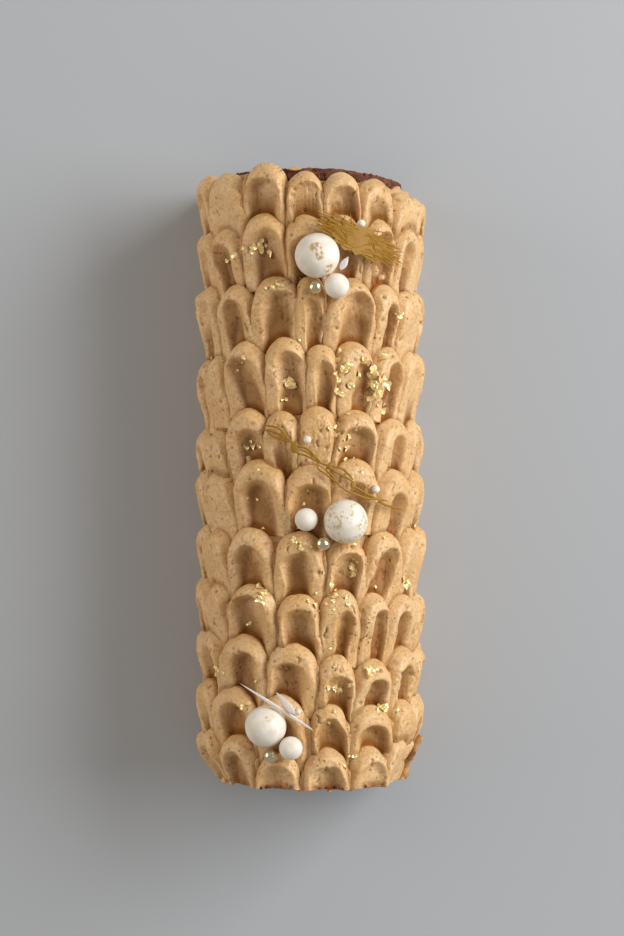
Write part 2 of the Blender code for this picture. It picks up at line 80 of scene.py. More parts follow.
# One list per row from the far end to the near end. A petal is (left x, right x, front y) and, where it was
# spooned out, (scoop left x, scoop right x, scoop top y), then for some the scoop's lean and its depth.
# The petals further down the sides are worked out.
ROWS = (
    ((-46, -29.5, 132.8), (-30, -11, 135.5, -28.5, -14.5, 128.5, 0.05, 4.4), (-11, 5.5, 131, -8.5, 4, 126, 0, 2.8),
     (5.5, 22.5, 131, 8, 20, 124.5, 0.05, 4.4), (21.5, 37, 129, 25, 34, 121, 0, 1.8), (37, 47.5, 125)),
    ((-44, -31.5, 109.5, -42, -36, 101.5, 0.1, 5.2), (-31.5, -11, 114, -25.5, -12.5, 106.5, -0.05, 5.0),
     (-11, 7, 113, -8, 4, 103.5), (6, 23.5, 113.5, 10, 20, 104, 0, 3.4),
     (24, 38, 112.5, 28.5, 37, 106, -0.08, 5.8), (38, 48.5, 111, 41, 45, 103)),
    ((-42, -26, 84, -37.5, -30, 77.5), (-26.5, -5.5, 87, -20.5, -7, 80, 0, 5.2),
     (-6.5, 6.5, 87, -2, 4, 77, 0.12, 3.4), (7, 29, 86, 13.5, 26, 79.5, 0, 5.4),
     (29, 40, 84, 34, 38.5, 75, -0.05, 5.8), (40, 48.5, 82)),
    ((-47, -38.5, 54.5), (-38.5, -20.5, 59, -36.5, -25.5, 52, 0.28, 5.2), (-21, -2, 60.5, -15, -3.5, 54),
     (-2, 11.5, 57.5, 2, 9.5, 50), (11, 28.5, 59, 20, 27.5, 50, -0.16, 4.8),
     (28, 42, 57, 34, 40, 50, -0.05, 5.6)),
    ((-47.5, -37.5, 21), (-37.5, -20.5, 30.5, -33, -22, 21, 0.05, 5.4), (-21, -5.5, 29.5, -17, -9, 20, 0.1, 2.6),
     (-5, 11, 31.5), (11, 30, 29.5, 13.5, 27, 22, 0, 5.4), (29.5, 45.5, 26.5, 36, 41, 19, 0, 4.2)),
    ((-48, -34.5, 4), (-35, -11, 8.5, -30, -16, -1, 0, 5.6), (-11, 10, 6.5, -7.5, 8, -2, 0, 5.2),
     (10, 30, 8.5, 14, 26, -2), (29.5, 45.5, 4, 36, 42, -6.5, -0.05, 4.8)),
    ((-47, -37, -22), (-37.5, -17, -21, -33, -20, -29, 0, 5.0), (-16.5, 6, -22, -11.5, 0, -31, 0, 5.2),
     (7, 25, -25.5, 10.5, 22, -31.5, -0.08, 5.4), (25, 42, -22.5, 31, 39.5, -30, -0.3, 5.6)),
    ((-47, -38, -45), (-37.5, -15, -45, -34, -20.5, -50, 0.05, 5.0), (-15, 4, -48.5, -12, 0.5, -56, 0, 5.2),
     (4, 22.5, -47.5, 12, 18, -57, 0, 4.6), (22.5, 35.5, -49, 28, 34, -56, 0, 5.8),
     (35.5, 48, -50, 39, 44, -58, 0, 5.8)),
    ((-41.5, -19.5, -67, -35, -23.5, -75, 0, 5.4), (-19.5, 3, -70, -16, -2.5, -79),
     (3, 19.5, -75, 6, 16.5, -84), (19.5, 36.5, -77.5, 25, 33, -86, 0, 5.8), (36.5, 48, -73, 40, 45, -82, 0, 5.8)),
    ((-45, -25, -90, -39, -27, -97, 0, 5.6), (-24, -2, -92.5, -19, -7, -101), (0, 17, -96.5, 3, 15, -103, 0, 5.4),
     (17.5, 37.5, -97.5, 21, 34, -106, 0, 5.4), (37.5, 46.5, -96)),
    ((-42, -25, -110.5, -38.5, -28, -118), (-25, -4.5, -117.5, -22, -7, -123, 0, 3.8),
     (-3, 17, -115, 0, 13.5, -122.5, 0, 4.4), (17.5, 34.5, -115, 22, 32, -121, 0, 3.2), (34.5, 45.5, -112)),
)

# The gold wire sprig: strands as plan points, followed over the top of the petals, and the blobs where they meet.
WIRE_RADIUS = 53.6
WIRE_STRANDS = (
    ((-19.5, 23), (-15, 22.3), (-11.5, 20), (-9.5, 17.2), (-7, 15.2)),
    ((-21.5, 21.2), (-16.8, 20.6), (-12.5, 18.8), (-9, 16.9)),
    ((-18.6, 20.4), (-15.8, 18.2), (-12, 16.9), (-8.6, 16.1)),
    ((-8.4, 16.6), (-6.4, 14.6), (-1.5, 13), (1.4, 10.4), (4.6, 7), (8.3, 5.9), (12.5, 5), (15.2, 3.2), (18, 0)),
    ((-7.4, 15.6), (-5.6, 11.4), (-2, 10.2), (1, 8.6), (4.9, 6.6)),
    ((3.2, 7.8), (3, 5), (6.2, 2.4), (10.8, -1), (13.4, -3.5), (17, -5.6), (21, -7)),
    ((8, 6.3), (10.4, 3.4), (14.6, 1.2), (17.4, -0.6), (18.4, -3), (16.6, -5.6)),
    ((17.9, -2.6), (21.4, -4.6), (24, -6.2), (28, -8.2), (31.4, -10.6), (35, -11.8), (38.5, -12.6)),
    ((-4.5, 12.9), (-0.4, 10.9), (3.4, 8)),
    ((15.6, -4.9), (19.4, -6.3), (23.4, -7.9), (28, -8.4), (32.9, -9.2)),
    ((6, 4.6), (9.2, 1.6), (11.2, -1.2)),
)
WIRE_BLOBS = ((-11.6, 18.3, 1.9), (-6.8, 13.6, 2.5), (8.4, 5.6, 1.8), (18.0, -2.2, 1.7), (23.4, -5.2, 1.6))

FIR_MIDDLE = (20.5, 101.5)
FIR_HALF = (22.0, 9.4)
FIR_TURN = math.radians(-26)
FIR_CORE = (11.5, 5.9)
FIR_CORE_TURN = math.radians(12)
FIR_HEIGHT = 84.6

SLIVERS = (
    ("needle_white", (-29.9, -85.9, 88.6), (1.2, -106.4, 84.4), 1.8, 1.2),
    ("shard_white_1", (-14.6, -90.0, 86.2), (-6.6, -99.2, 87.6), 3.2, 1.0),
    ("shard_white_2", (16.0, 94.6, 84.6), (12.6, 88.8, 85.6), 3.0, 0.9),
)

# Scraps of cream: x, y, z and the three radii.
CREAM_SCRAPS = (
    (-37.5, -132.4, 52, 1.9, 1.7, 3.2),
    (-34.4, -132.9, 57, 1.2, 1.0, 2.2),
    (-25.6, -132.9, 66, 1.4, 1.0, 2.4),
    (-4.6, -133.2, 76, 1.2, 1.1, 2.6),
    (8.2, -133.4, 75, 1.1, 0.9, 1.8),
    (17.4, -132.9, 70, 1.8, 1.5, 3.4),
    (-6.6, 133.5, 72.3, 3.0, 0.8, 0.5),
)

# Scraps of cream lying on the petals: x, y and the three radii.
TOP_SCRAPS = ((27.2, 90.2, 2.4, 2.9, 0.9), (21.8, 91.4, 0.9, 3.2, 0.9), (30.2, 87.6, 1.8, 1.4, 0.7))

# Gold rubbed on the first and third large balls: x, y, z and radius of each spot.
BALL_ONE_GOLD = ((2.2, 97.4, 95.6, 3.6), (3.6, 94.0, 95.6, 3.0), (7.6, 89.2, 91.5, 3.4))
BALL_THREE_GOLD = ((-17.6, -99.8, 89.6, 3.2),)

# Gold leaf: middle x and y of each scatter, its spread across and along, how many, and the largest flake.
FLAKES = (
    (-26, 98, 8, 7, 10, 2.6),
    (-16.5, 82, 6, 2.5, 6, 2.4),
    (38.5, 71, 1.5, 4, 4, 2.2),
    (-31.5, 49, 2.5, 3, 3, 2.0),
    (-8.5, 42, 1.2, 1.6, 3, 4.0),
    (14.5, 46, 8, 8, 18, 3.0),
    (28, 42, 4.5, 9, 22, 3.6),
    (11, 18, 9, 9, 10, 2.4),
    (-27, 10, 5, 11, 7, 2.2),
    (-5.5, -26, 5, 4, 6, 2.4),
    (-20.5, -51, 2, 4, 7, 2.6),
    (14, -36, 14, 12, 12, 2.2),
    (42, -44, 1.5, 3, 6, 2.6),
    (8, -52, 12, 10, 8, 2.0),
    (-40, -86, 3, 5, 5, 2.4),
    (11, -89, 5, 2.5, 8, 2.8),
    (27, -82.5, 4, 2, 4, 3.4),
    (32, -99, 4, 2.5, 5, 3.4),
    (10, -99, 3, 2, 2, 2.2),
    (-29, -99, 2, 3, 3, 2.0),
    (19, -120, 3, 3, 3, 2.0),
    (2, 0, 42, 118, 40, 1.4),
)


class CakeSettings(bpy.types.PropertyGroup):
    """What can be changed about the cake before it is built."""

    petal_height: FloatProperty(
        name="Petal height", description="Height of a petal's crest over the coat", default=7.8, min=4, max=11
    )
    rim_round: FloatProperty(
        name="Rim roundness", description="How far in from its edge a petal keeps rising", default=5.2, min=2, max=8
    )
    bulge: FloatProperty(
        name="Front bulge", description="How far a petal's rim hangs out over its foot", default=0.7, min=0, max=2
    )
    streaks: FloatProperty(
        name="Spoon streaks", description="Depth of the drag marks in the scoops", default=0.2, min=0, max=1
    )
    pores: IntProperty(name="Holes per petal", description="Air holes in each petal", default=9, min=0, max=40)
    crumb: FloatProperty(
        name="Crumb roughness", description="Roughness of the bare sponge ends", default=0.45, min=0, max=2
    )
    needles: IntProperty(name="Fir needles", description="Needles on the fir sprig", default=190, min=10, max=200)
    flake_size: FloatProperty(
        name="Flake size", description="Share of the measured gold leaf size", default=1.7, min=0.2, max=2
    )
    lamp_power: FloatProperty(
        name="Window light", description="Power of the large soft light", default=26, min=0, unit="POWER"
    )
    fill_share: FloatProperty(
        name="Fill light", description="Power of the light from the left, as a share", default=0.2, min=0, max=1
    )
    camera_height: FloatProperty(
        name="Camera height", description="Height of the camera over the table", default=0.95, min=0.4, unit="LENGTH"
    )


class Noise:
    """Smooth seeded noise on a plane, from -1 to 1."""

    def __init__(self, seed):
        self.grid = np.random.default_rng(seed).uniform(-1, 1, (97, 97))

    def at(self, u, v):
        i, j = np.floor(u).astype(int), np.floor(v).astype(int)
        f, g = smooth(u - i), smooth(v - j)
        size = len(self.grid)
        near, far = i % size, (i + 1) % size
        low, high = j % size, (j + 1) % size
        one = self.grid[near, low] * (1 - f) + self.grid[far, low] * f
        two = self.grid[near, high] * (1 - f) + self.grid[far, high] * f
        return one * (1 - g) + two * g


def smooth(t):
    t = np.clip(t, 0, 1)
    return t * t * (3 - 2 * t)


def shift():
    """From the middle of the log at table level to the frame, in metres."""
    low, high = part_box("sponge_log")
    return Vector(((low.x + high.x) / 2, high.y - SPONGE_FAR * MM, low.z))


def deselect():
    for thing in bpy.context.selected_objects:
        thing.select_set(False)


def finish_piece(piece, material, nodes):
    """Gives a piece its material and smooth faces, hangs it on the root body and hides the CAD nodes it stands for."""
    piece.data.materials.clear()
    piece.data.materials.append(material)
    piece.data.shade_smooth()
    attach(piece, "root")
    if nodes:
        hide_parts(*nodes)
    return piece


def mesh_piece(name, points, faces, values=None):
    """An object from millimetre points about the middle of the log and quads or triangles."""
    mesh = bpy.data.meshes.new(name)
    corners = np.asarray(points, float) * MM + np.array(shift())
    mesh.vertices.add(len(corners))
    mesh.vertices.foreach_set("co", corners.astype(np.float32).ravel())
    faces = outward(corners, np.asarray(faces, np.int32))
    mesh.loops.add(faces.size)
    mesh.loops.foreach_set("vertex_index", faces.ravel())
    mesh.polygons.add(len(faces))
    mesh.polygons.foreach_set("loop_start", np.arange(0, faces.size, faces.shape[1], dtype=np.int32))
    mesh.update(calc_edges=True)
    mesh.validate()
    for key, array in (values or {}).items():
        attribute = mesh.attributes.new(key, "FLOAT", "POINT")
        attribute.data.foreach_set("value", np.asarray(array, np.float32))
    piece = bpy.data.objects.new(name, mesh)
    bpy.context.scene.collection.objects.link(piece)
    return piece


def outward(corners, faces):
    """The faces, all turned round if they point inwards."""
    first = corners[faces[:, 0]] - corners.mean(0)
    spread = np.zeros_like(first)
    for i in range(1, faces.shape[1] - 1):
        one, two = corners[faces[:, i]] - corners.mean(0), corners[faces[:, i + 1]] - corners.mean(0)
        spread += np.cross(one, two)
    return faces if (first * spread).sum() > 0 else faces[:, ::-1].copy()


def grid_faces(rows, columns, start=0, wrap=False):
    """Quads over a grid of points stored row by row."""
    i = np.arange(rows - 1)[:, None]
    j = np.arange(columns if wrap else columns - 1)[None, :]
    k = (j + 1) % columns
    faces = np.stack([i * columns + j, i * columns + k, (i + 1) * columns + k, (i + 1) * columns + j], -1)
    return faces.reshape(-1, 4) + start


# Materials


def node(tree, kind, at, **settings):
    made = tree.nodes.new(kind)
    made.location = at
    for key, value in settings.items():
        if hasattr(made, key):
            setattr(made, key, value)
        else:
            made.inputs[key.replace("_", " ").title()].default_value = value
    return made


def new_material(name, colour, roughness):
    material = bpy.data.materials.new(name)
    material.use_nodes = True
    shader = material.node_tree.nodes["Principled BSDF"]
    shader.inputs["Base Color"].default_value = (*colour, 1)
    shader.inputs["Roughness"].default_value = roughness
    return material, material.node_tree, shader


def stretched(tree, scale, at):
    """Object coordinates, stretched by a scale per axis."""
    coordinates = node(tree, "ShaderNodeTexCoord", (at[0] - 400, at[1]))
    mapping = node(tree, "ShaderNodeMapping", (at[0] - 200, at[1]))
    mapping.inputs["Scale"].default_value = scale
    tree.links.new(coordinates.outputs["Object"], mapping.inputs["Vector"])
    return mapping.outputs["Vector"]


def noise_node(tree, scale, detail, at, axes=(1, 1, 1)):
    texture = node(tree, "ShaderNodeTexNoise", at)
    texture.inputs["Scale"].default_value = scale
    texture.inputs["Detail"].default_value = detail
    tree.links.new(stretched(tree, axes, at), texture.inputs["Vector"])
    return texture.outputs["Fac"]


def ranged(tree, value, low, high, at, top=1.0):
    """A value remapped smoothly from low..high to 0..top."""
    made = node(tree, "ShaderNodeMapRange", at, interpolation_type="SMOOTHSTEP")
    made.inputs["From Min"].default_value = low
    made.inputs["From Max"].default_value = high
    made.inputs["To Max"].default_value = top
    tree.links.new(value, made.inputs["Value"])
    return made.outputs["Result"]


def mixed(tree, share, one, two, at):
    """A colour mix; one and two are colours or sockets."""
    made = node(tree, "ShaderNodeMix", at, data_type="RGBA")
    tree.links.new(share, made.inputs["Factor"])
    for value, index in ((one, 6), (two, 7)):
        if isinstance(value, tuple):
            made.inputs[index].default_value = (*value, 1)
        else:
            tree.links.new(value, made.inputs[index])
    return made.outputs[2]


def bumped(tree, height, strength, distance, at, under=None):
    made = node(tree, "ShaderNodeBump", at)
    made.inputs["Strength"].default_value = strength
    made.inputs["Distance"].default_value = distance
    tree.links.new(height, made.inputs["Height"])
    if under:
        tree.links.new(under, made.inputs["Normal"])
    return made.outputs["Normal"]


def multiplied(tree, one, two, at):
    made = node(tree, "ShaderNodeMath", at, operation="MULTIPLY")
    tree.links.new(one, made.inputs[0])
    tree.links.new(two, made.inputs[1])
    return made.outputs[0]


def air_pits(tree, size, reach, at):
    """Share of each place that lies in an air pit: odd-shaped pits of all sizes, only in patches."""
    speck = node(tree, "ShaderNodeTexVoronoi", at)
    speck.inputs["Scale"].default_value = size
    tree.links.new(stretched(tree, (1, 0.8, 1), at), speck.inputs["Vector"])
    ragged = node(tree, "ShaderNodeMath", (at[0] + 100, at[1] - 120), operation="MULTIPLY_ADD")
    ragged.inputs[1].default_value = 0.34
    tree.links.new(noise_node(tree, size * 2.5, 2, (at[0], at[1] - 400)), ragged.inputs[0])
    tree.links.new(speck.outputs["Distance"], ragged.inputs[2])
    pit = ranged(tree, ragged.outputs[0], reach + 0.17, reach * 0.4 + 0.17, (at[0] + 200, at[1]))
    few = ranged(tree, speck.outputs["Color"], 0.46, 0.64, (at[0] + 200, at[1] - 500))
    patch = ranged(tree, noise_node(tree, size / 6, 3, (at[0], at[1] - 250)), 0.48, 0.6, (at[0] + 200, at[1] - 250))
    return multiplied(tree, multiplied(tree, pit, few, (at[0] + 400, at[1] - 300)), patch, (at[0] + 500, at[1]))


def buttercream():
    """Caramel buttercream: soft, with fine pits and streaks, the sponge's red-brown where it is thin, and painted
    shade in its scoops, creases, pits and tears.
    """
    found = bpy.data.materials.get("caramel_buttercream")
    if found:
        return found
    material, tree, shader = new_material("caramel_buttercream", (0.7, 0.43, 0.19), 0.55)
    tone = ranged(tree, noise_node(tree, 60, 4, (-1400, 600)), 0.3, 0.7, (-1200, 600))
    cream = mixed(tree, tone, (0.800, 0.530, 0.262), (0.710, 0.430, 0.178), (-1000, 500))
    fine = ranged(tree, noise_node(tree, 800, 5, (-1400, 300)), 0.4, 0.75, (-1200, 300), 0.7)
    cream = mixed(tree, fine, cream, (0.530, 0.290, 0.095), (-800, 500))
    large, small = air_pits(tree, 430, 0.27, (-1400, 0)), air_pits(tree, 950, 0.3, (-1400, -600))
    pits = node(tree, "ShaderNodeMath", (-800, 0), operation="MAXIMUM")
    tree.links.new(large, pits.inputs[0])
    tree.links.new(small, pits.inputs[1])
    # Painted shade: the air pits are darkened in colour, and also dented by the bump further down.
    painted_pit_shade = ranged(tree, pits.outputs[0], 0, 1, (-800, 200), 0.58)
    cream_with_painted_pit_shade = mixed(tree, painted_pit_shade, cream, (0.200, 0.080, 0.020), (-600, 400))
    # Painted shade: a mesh attribute marks scoops, creases, holes and tears, where the cream is darkened to a deep
    # brown.
    painted_shade = node(tree, "ShaderNodeAttribute", (-1000, 800), attribute_name="painted_shade")
    brown = mixed(tree, painted_shade.outputs["Fac"], cream_with_painted_pit_shade, (0.215, 0.074, 0.009), (-500, 600))
    thin = node(tree, "ShaderNodeAttribute", (-800, 800), attribute_name="thin")
    stain = ranged(tree, noise_node(tree, 380, 4, (-1400, 900)), 0.4, 0.6, (-1200, 900))
    stain = mixed(tree, stain, (0.380, 0.125, 0.026), (0.120, 0.030, 0.006), (-600, 900))
    red = mixed(tree, thin.outputs["Fac"], brown, stain, (-400, 400))
    tree.links.new(red, shader.inputs["Base Color"])
    flow = noise_node(tree, 1, 2, (-1400, -1100), (900, 120, 900))
    grain = noise_node(tree, 1300, 4, (-1400, -1350))
    curd = noise_node(tree, 430, 4, (-1400, -1600))
    normal = bumped(tree, flow, 0.3, 0.0006, (-900, -900))
    normal = bumped(tree, curd, 0.4, 0.0008, (-700, -900), normal)
    normal = bumped(tree, grain, 0.3, 0.0004, (-500, -900), normal)
    hollow = ranged(tree, pits.outputs[0], 0, 1, (-600, -500), -1.0)
    normal = bumped(tree, hollow, 0.9, 0.0008, (-300, -700), normal)
    tree.links.new(normal, shader.inputs["Normal"])
    sheen = node(tree, "ShaderNodeMath", (-300, 100), operation="MULTIPLY_ADD")
    sheen.inputs[1].default_value = 0.34
    sheen.inputs[2].default_value = 0.28
    tree.links.new(noise_node(tree, 520, 3, (-800, -1900)), sheen.inputs[0])
    tree.links.new(sheen.outputs[0], shader.inputs["Roughness"])
    shader.inputs["Subsurface Weight"].default_value = 0.2
    shader.inputs["Subsurface Radius"].default_value = (1.0, 0.45, 0.2)
    shader.inputs["Subsurface Scale"].default_value = 0.0014
    # Where the shade is painted, the specular and the coat are turned down too, so no sheen shows there.
    specular_off_in_painted_shade = node(tree, "ShaderNodeMath", (-300, 300), operation="MULTIPLY_ADD")
    specular_off_in_painted_shade.inputs[1].default_value = -0.55
    specular_off_in_painted_shade.inputs[2].default_value = 0.55
    tree.links.new(painted_shade.outputs["Fac"], specular_off_in_painted_shade.inputs[0])
    tree.links.new(specular_off_in_painted_shade.outputs[0], shader.inputs["Specular IOR Level"])
    coat_off_in_painted_shade = node(tree, "ShaderNodeMath", (-300, 450), operation="MULTIPLY_ADD")
    coat_off_in_painted_shade.inputs[1].default_value = -0.13
    coat_off_in_painted_shade.inputs[2].default_value = 0.12
    tree.links.new(painted_shade.outputs["Fac"], coat_off_in_painted_shade.inputs[0])
    tree.links.new(coat_off_in_painted_shade.outputs[0], shader.inputs["Coat Weight"])
    shader.inputs["Coat Roughness"].default_value = 0.36
    return material


def sponge_material():
    """Red-brown sponge: fine crumb with small open pores, painted darker as shade."""
    material, tree, shader = new_material("red_crumb", (0.2, 0.055, 0.035), 0.92)
    tone = ranged(tree, noise_node(tree, 260, 5, (-1200, 300)), 0.34, 0.66, (-1000, 300))
    crumb = mixed(tree, tone, (0.130, 0.036, 0.014), (0.250, 0.084, 0.036), (-800, 300))
    fine = ranged(tree, noise_node(tree, 1500, 4, (-1200, 600)), 0.42, 0.62, (-1000, 600), 0.75)
    crumb = mixed(tree, fine, crumb, (0.085, 0.020, 0.008), (-600, 300))
    pore = node(tree, "ShaderNodeTexVoronoi", (-1200, -200))
    pore.inputs["Scale"].default_value = 620
    tree.links.new(stretched(tree, (1, 1, 1), (-1200, -200)), pore.inputs["Vector"])
    open_pore = ranged(tree, pore.outputs["Distance"], 0.34, 0.14, (-1000, -400))
    some = ranged(tree, pore.outputs["Color"], 0.5, 0.6, (-1000, -600))
    hole = multiplied(tree, open_pore, some, (-800, -400))
    # Painted shade: the open pores are darkened in colour, and also dented by the bump.
    tree.links.new(mixed(tree, hole, crumb, (0.040, 0.009, 0.004), (-400, 300)), shader.inputs["Base Color"])
    normal = bumped(tree, noise_node(tree, 900, 5, (-1200, -900)), 0.8, 0.0011, (-600, -200))
    normal = bumped(tree, ranged(tree, hole, 0, 1, (-600, -500), -1.0), 0.9, 0.001, (-400, -200), normal)
    tree.links.new(normal, shader.inputs["Normal"])
    return material


def near_spot(tree, spot, radius, at):
    """1 at a spot on the cake, in millimetres from the log's middle, falling to 0 at the radius."""
    coordinates = node(tree, "ShaderNodeTexCoord", (at[0] - 200, at[1]))
    away = node(tree, "ShaderNodeVectorMath", at, operation="DISTANCE")
    away.inputs[1].default_value = Vector(spot) * MM + shift()
    tree.links.new(coordinates.outputs["Object"], away.inputs[0])
    return ranged(tree, away.outputs["Value"], radius * MM, radius * MM * 0.3, (at[0] + 200, at[1]))


def sugar_shell(name, spots=(), flecks=0.0, grain=(0.34, 0.54), tint=(0.52, 0.31, 0.12), fineness=380):
    """White sugar shell, rubbed with gold at some spots or flecked with it all over."""
    material, tree, shader = new_material(name, (0.86, 0.81, 0.73), 0.42)
    shader.inputs["Specular IOR Level"].default_value = 0.4
    mottle = ranged(tree, noise_node(tree, 260, 3, (-1100, 600)), 0.35, 0.65, (-900, 600))
    colour = mixed(tree, mottle, (0.80, 0.725, 0.610), (0.89, 0.83, 0.735), (-700, 600))
    fine = ranged(tree, noise_node(tree, fineness, 4, (-1100, 300)), grain[0], grain[1], (-900, 300))
    shares = []
    for i, (*spot, radius) in enumerate(spots):
        shares.append(near_spot(tree, spot, radius, (-1300, -200 * i)))
    if flecks:
        wide = noise_node(tree, 1, 3, (-1100, -700), (190, 120, 190))
        shares.append(ranged(tree, wide, 0.58 - flecks, 0.66 - flecks, (-900, -700)))
    for i, share in enumerate(shares):
        both = node(tree, "ShaderNodeMath", (-500, -200 * i), operation="MULTIPLY")
        tree.links.new(share, both.inputs[0])
        tree.links.new(fine, both.inputs[1])
        soft = ranged(tree, both.outputs[0], 0, 0.8, (-300, -200 * i), 0.9)
        colour = mixed(tree, soft, colour, tint, (-100, 600 - 200 * i))
    if not isinstance(colour, tuple):
        tree.links.new(colour, shader.inputs["Base Color"])
    normal = bumped(tree, noise_node(tree, 900, 2, (-900, -1000)), 0.12, 0.0002, (-300, -900))
    tree.links.new(normal, shader.inputs["Normal"])
    return material


def metal(name, colour, roughness, metallic):
    found = bpy.data.materials.get(name)
    if found:
        return found
    material, tree, shader = new_material(name, colour, roughness)
    shader.inputs["Metallic"].default_value = metallic
    return material


def sugar_glass():
    found = bpy.data.materials.get("sugar_glass")
    if found:
        return found
    material, tree, shader = new_material("sugar_glass", (0.93, 0.87, 0.82), 0.22)
    shader.inputs["Transmission Weight"].default_value = 0.35
    shader.inputs["Subsurface Weight"].default_value = 0.4
    shader.inputs["Subsurface Scale"].default_value = 0.002
    return material


# Buttercream


def across(x):
    """Girth position of a point seen at x from above, measured at the crests."""
    return CREST_RADIUS * math.asin(max(-1.0, min(1.0, x / CREST_RADIUS)))


def row_petals(height):
    """Every row's petals, left to right: dicts of girth position, half width, front y and scoop."""
    chance = random.Random(SEED)
    rows = []
    for listed in ROWS:
        seen = [measured_petal(p, height, chance) for p in listed]
        left, right = seen[0]["s"] - seen[0]["w"], seen[-1]["s"] + seen[-1]["w"]
        rows.append(
            side_petals(-HALF_GIRTH, left, seen[0]["y"], height, chance)
            + seen
            + side_petals(right, HALF_GIRTH, seen[-1]["y"], height, chance)
        )
    return rows


def measured_petal(entry, height, chance):
    left, right = across(entry[0]), across(entry[1])
    petal = {
        "s": (left + right) / 2,
        "w": (right - left) / 2,
        "y": entry[2],
        "high": height * chance.uniform(0.93, 1.05),
        "depth": 0.0,
    }
    if len(entry) > 3:
        scoop_left, scoop_right = across(entry[3]), across(entry[4])
        petal["scoop"] = (scoop_left + scoop_right) / 2
        petal["scoop_w"] = (scoop_right - scoop_left) / 2
        petal["scoop_y"] = entry[5]
        petal["lean"] = entry[6] if len(entry) > 6 else 0.0
        petal["depth"] = entry[7] if len(entry) > 7 else 4.8
    return petal


def side_petals(start, end, y, height, chance):
    """Petals down a side, evenly spaced with a little unevenness."""
    count = round((end - start) / SIDE_PETAL_WIDTH)
    step = (end - start) / count
    made = []
    for i in range(count):
        middle = start + (i + 0.5) * step + chance.uniform(-0.6, 0.6)
        top = y + chance.uniform(-2.5, 2.0)
        own = random.Random(round(middle * 10 + y))
        made.append(
            {
                "s": middle,
                "w": step * chance.uniform(0.5, 0.54),
                "y": top,
                "high": height * chance.uniform(0.85, 1.0),
                "scoop": middle + chance.uniform(-1.2, 1.2),
                "scoop_w": step * chance.uniform(0.26, 0.34),
                "scoop_y": top - chance.uniform(7.0, 9.5),
                "depth": own.uniform(0.8, 4.2),
                "lean": own.uniform(-0.1, 0.1),
            }
        )
    return made


def end_drop(s, y):
    """How much lower the coat lies towards the near end's corners, where it was drawn out thin."""
    start = np.where(s > 0, -109.0, -117.0)
    along = smooth((start - y) / np.where(s > 0, 25.0, 21.0))
    return np.where(s > 0, 9.0, 7.5) * along * smooth((np.abs(s) - 34) / 22)


def place(s, y, height):
    """Points of the coat at girth s, length y and a height over the even base layer."""
    arc = CREST_RADIUS * math.pi / 2
    side = np.sign(s)
    angle = np.minimum(np.abs(s), arc) / CREST_RADIUS
    down = np.clip(np.abs(s) - arc, 0, AXIS_HEIGHT)
    height = np.where(height > BURIED + 0.5, np.maximum(height - end_drop(s, y), THINNEST), height)
    out = COAT_RADIUS + height
    x = side * (out * np.sin(angle) - LEG_LEAN * down)
    z = AXIS_HEIGHT + out * np.cos(angle) - down
    return np.stack([x, y, np.maximum(z, 0)], -1)


def half_width(petal, b):
    """Half a petal's width at each distance b behind its front."""
    w = petal["w"]
    round_part = np.sqrt(np.clip(w * w - (w - b) ** 2, 0, None))
    return np.where(b < w, round_part, w * (1 + 0.07 * smooth((b - w) / 10)))


def scooped(petal, a, b, settings, fields, chance):
    """How far the spoon went down at each place, and where its drag marks lie."""
    broad, fine = fields
    u, v = chance.uniform(0, 90), chance.uniform(0, 90)
    start = petal["y"] - petal["scoop_y"]
    along = np.clip(b - start, 0, None)
    middle = petal["scoop"] - petal["s"] + petal["lean"] * along + 0.6 * broad.at(along / 9 + u, along * 0 + v)
    reach = 1.22 * petal["scoop_w"] * (1 - 0.15 * smooth(along / 24)) + 0.5 * broad.at(along / 6 + v, along * 0 + u)
    q = np.clip((a - middle) / reach, -1, 1)
    edge = start - 0.6 + 1.05 * reach * (1 - np.sqrt(1 - q * q)) + 0.4 * broad.at(a / 3 + u, a * 0 + v)
    wall = 1 - (1 - np.clip((b - edge) / chance.uniform(2.2, 5.4), 0, 1)) ** 2
    outer = 0.85 * np.clip(petal["s"] / 45, -0.6, 0.6)
    worked = wall * (1 - np.abs(q) ** 2.8) * (1 + outer * q)
    drag = fine.at(a * 1.1 + u, b / 12 + v) + 0.6 * fine.at(a * 2.3 + v, b / 9 + u)
    return worked, settings.streaks * drag * wall * (1 - q**4)


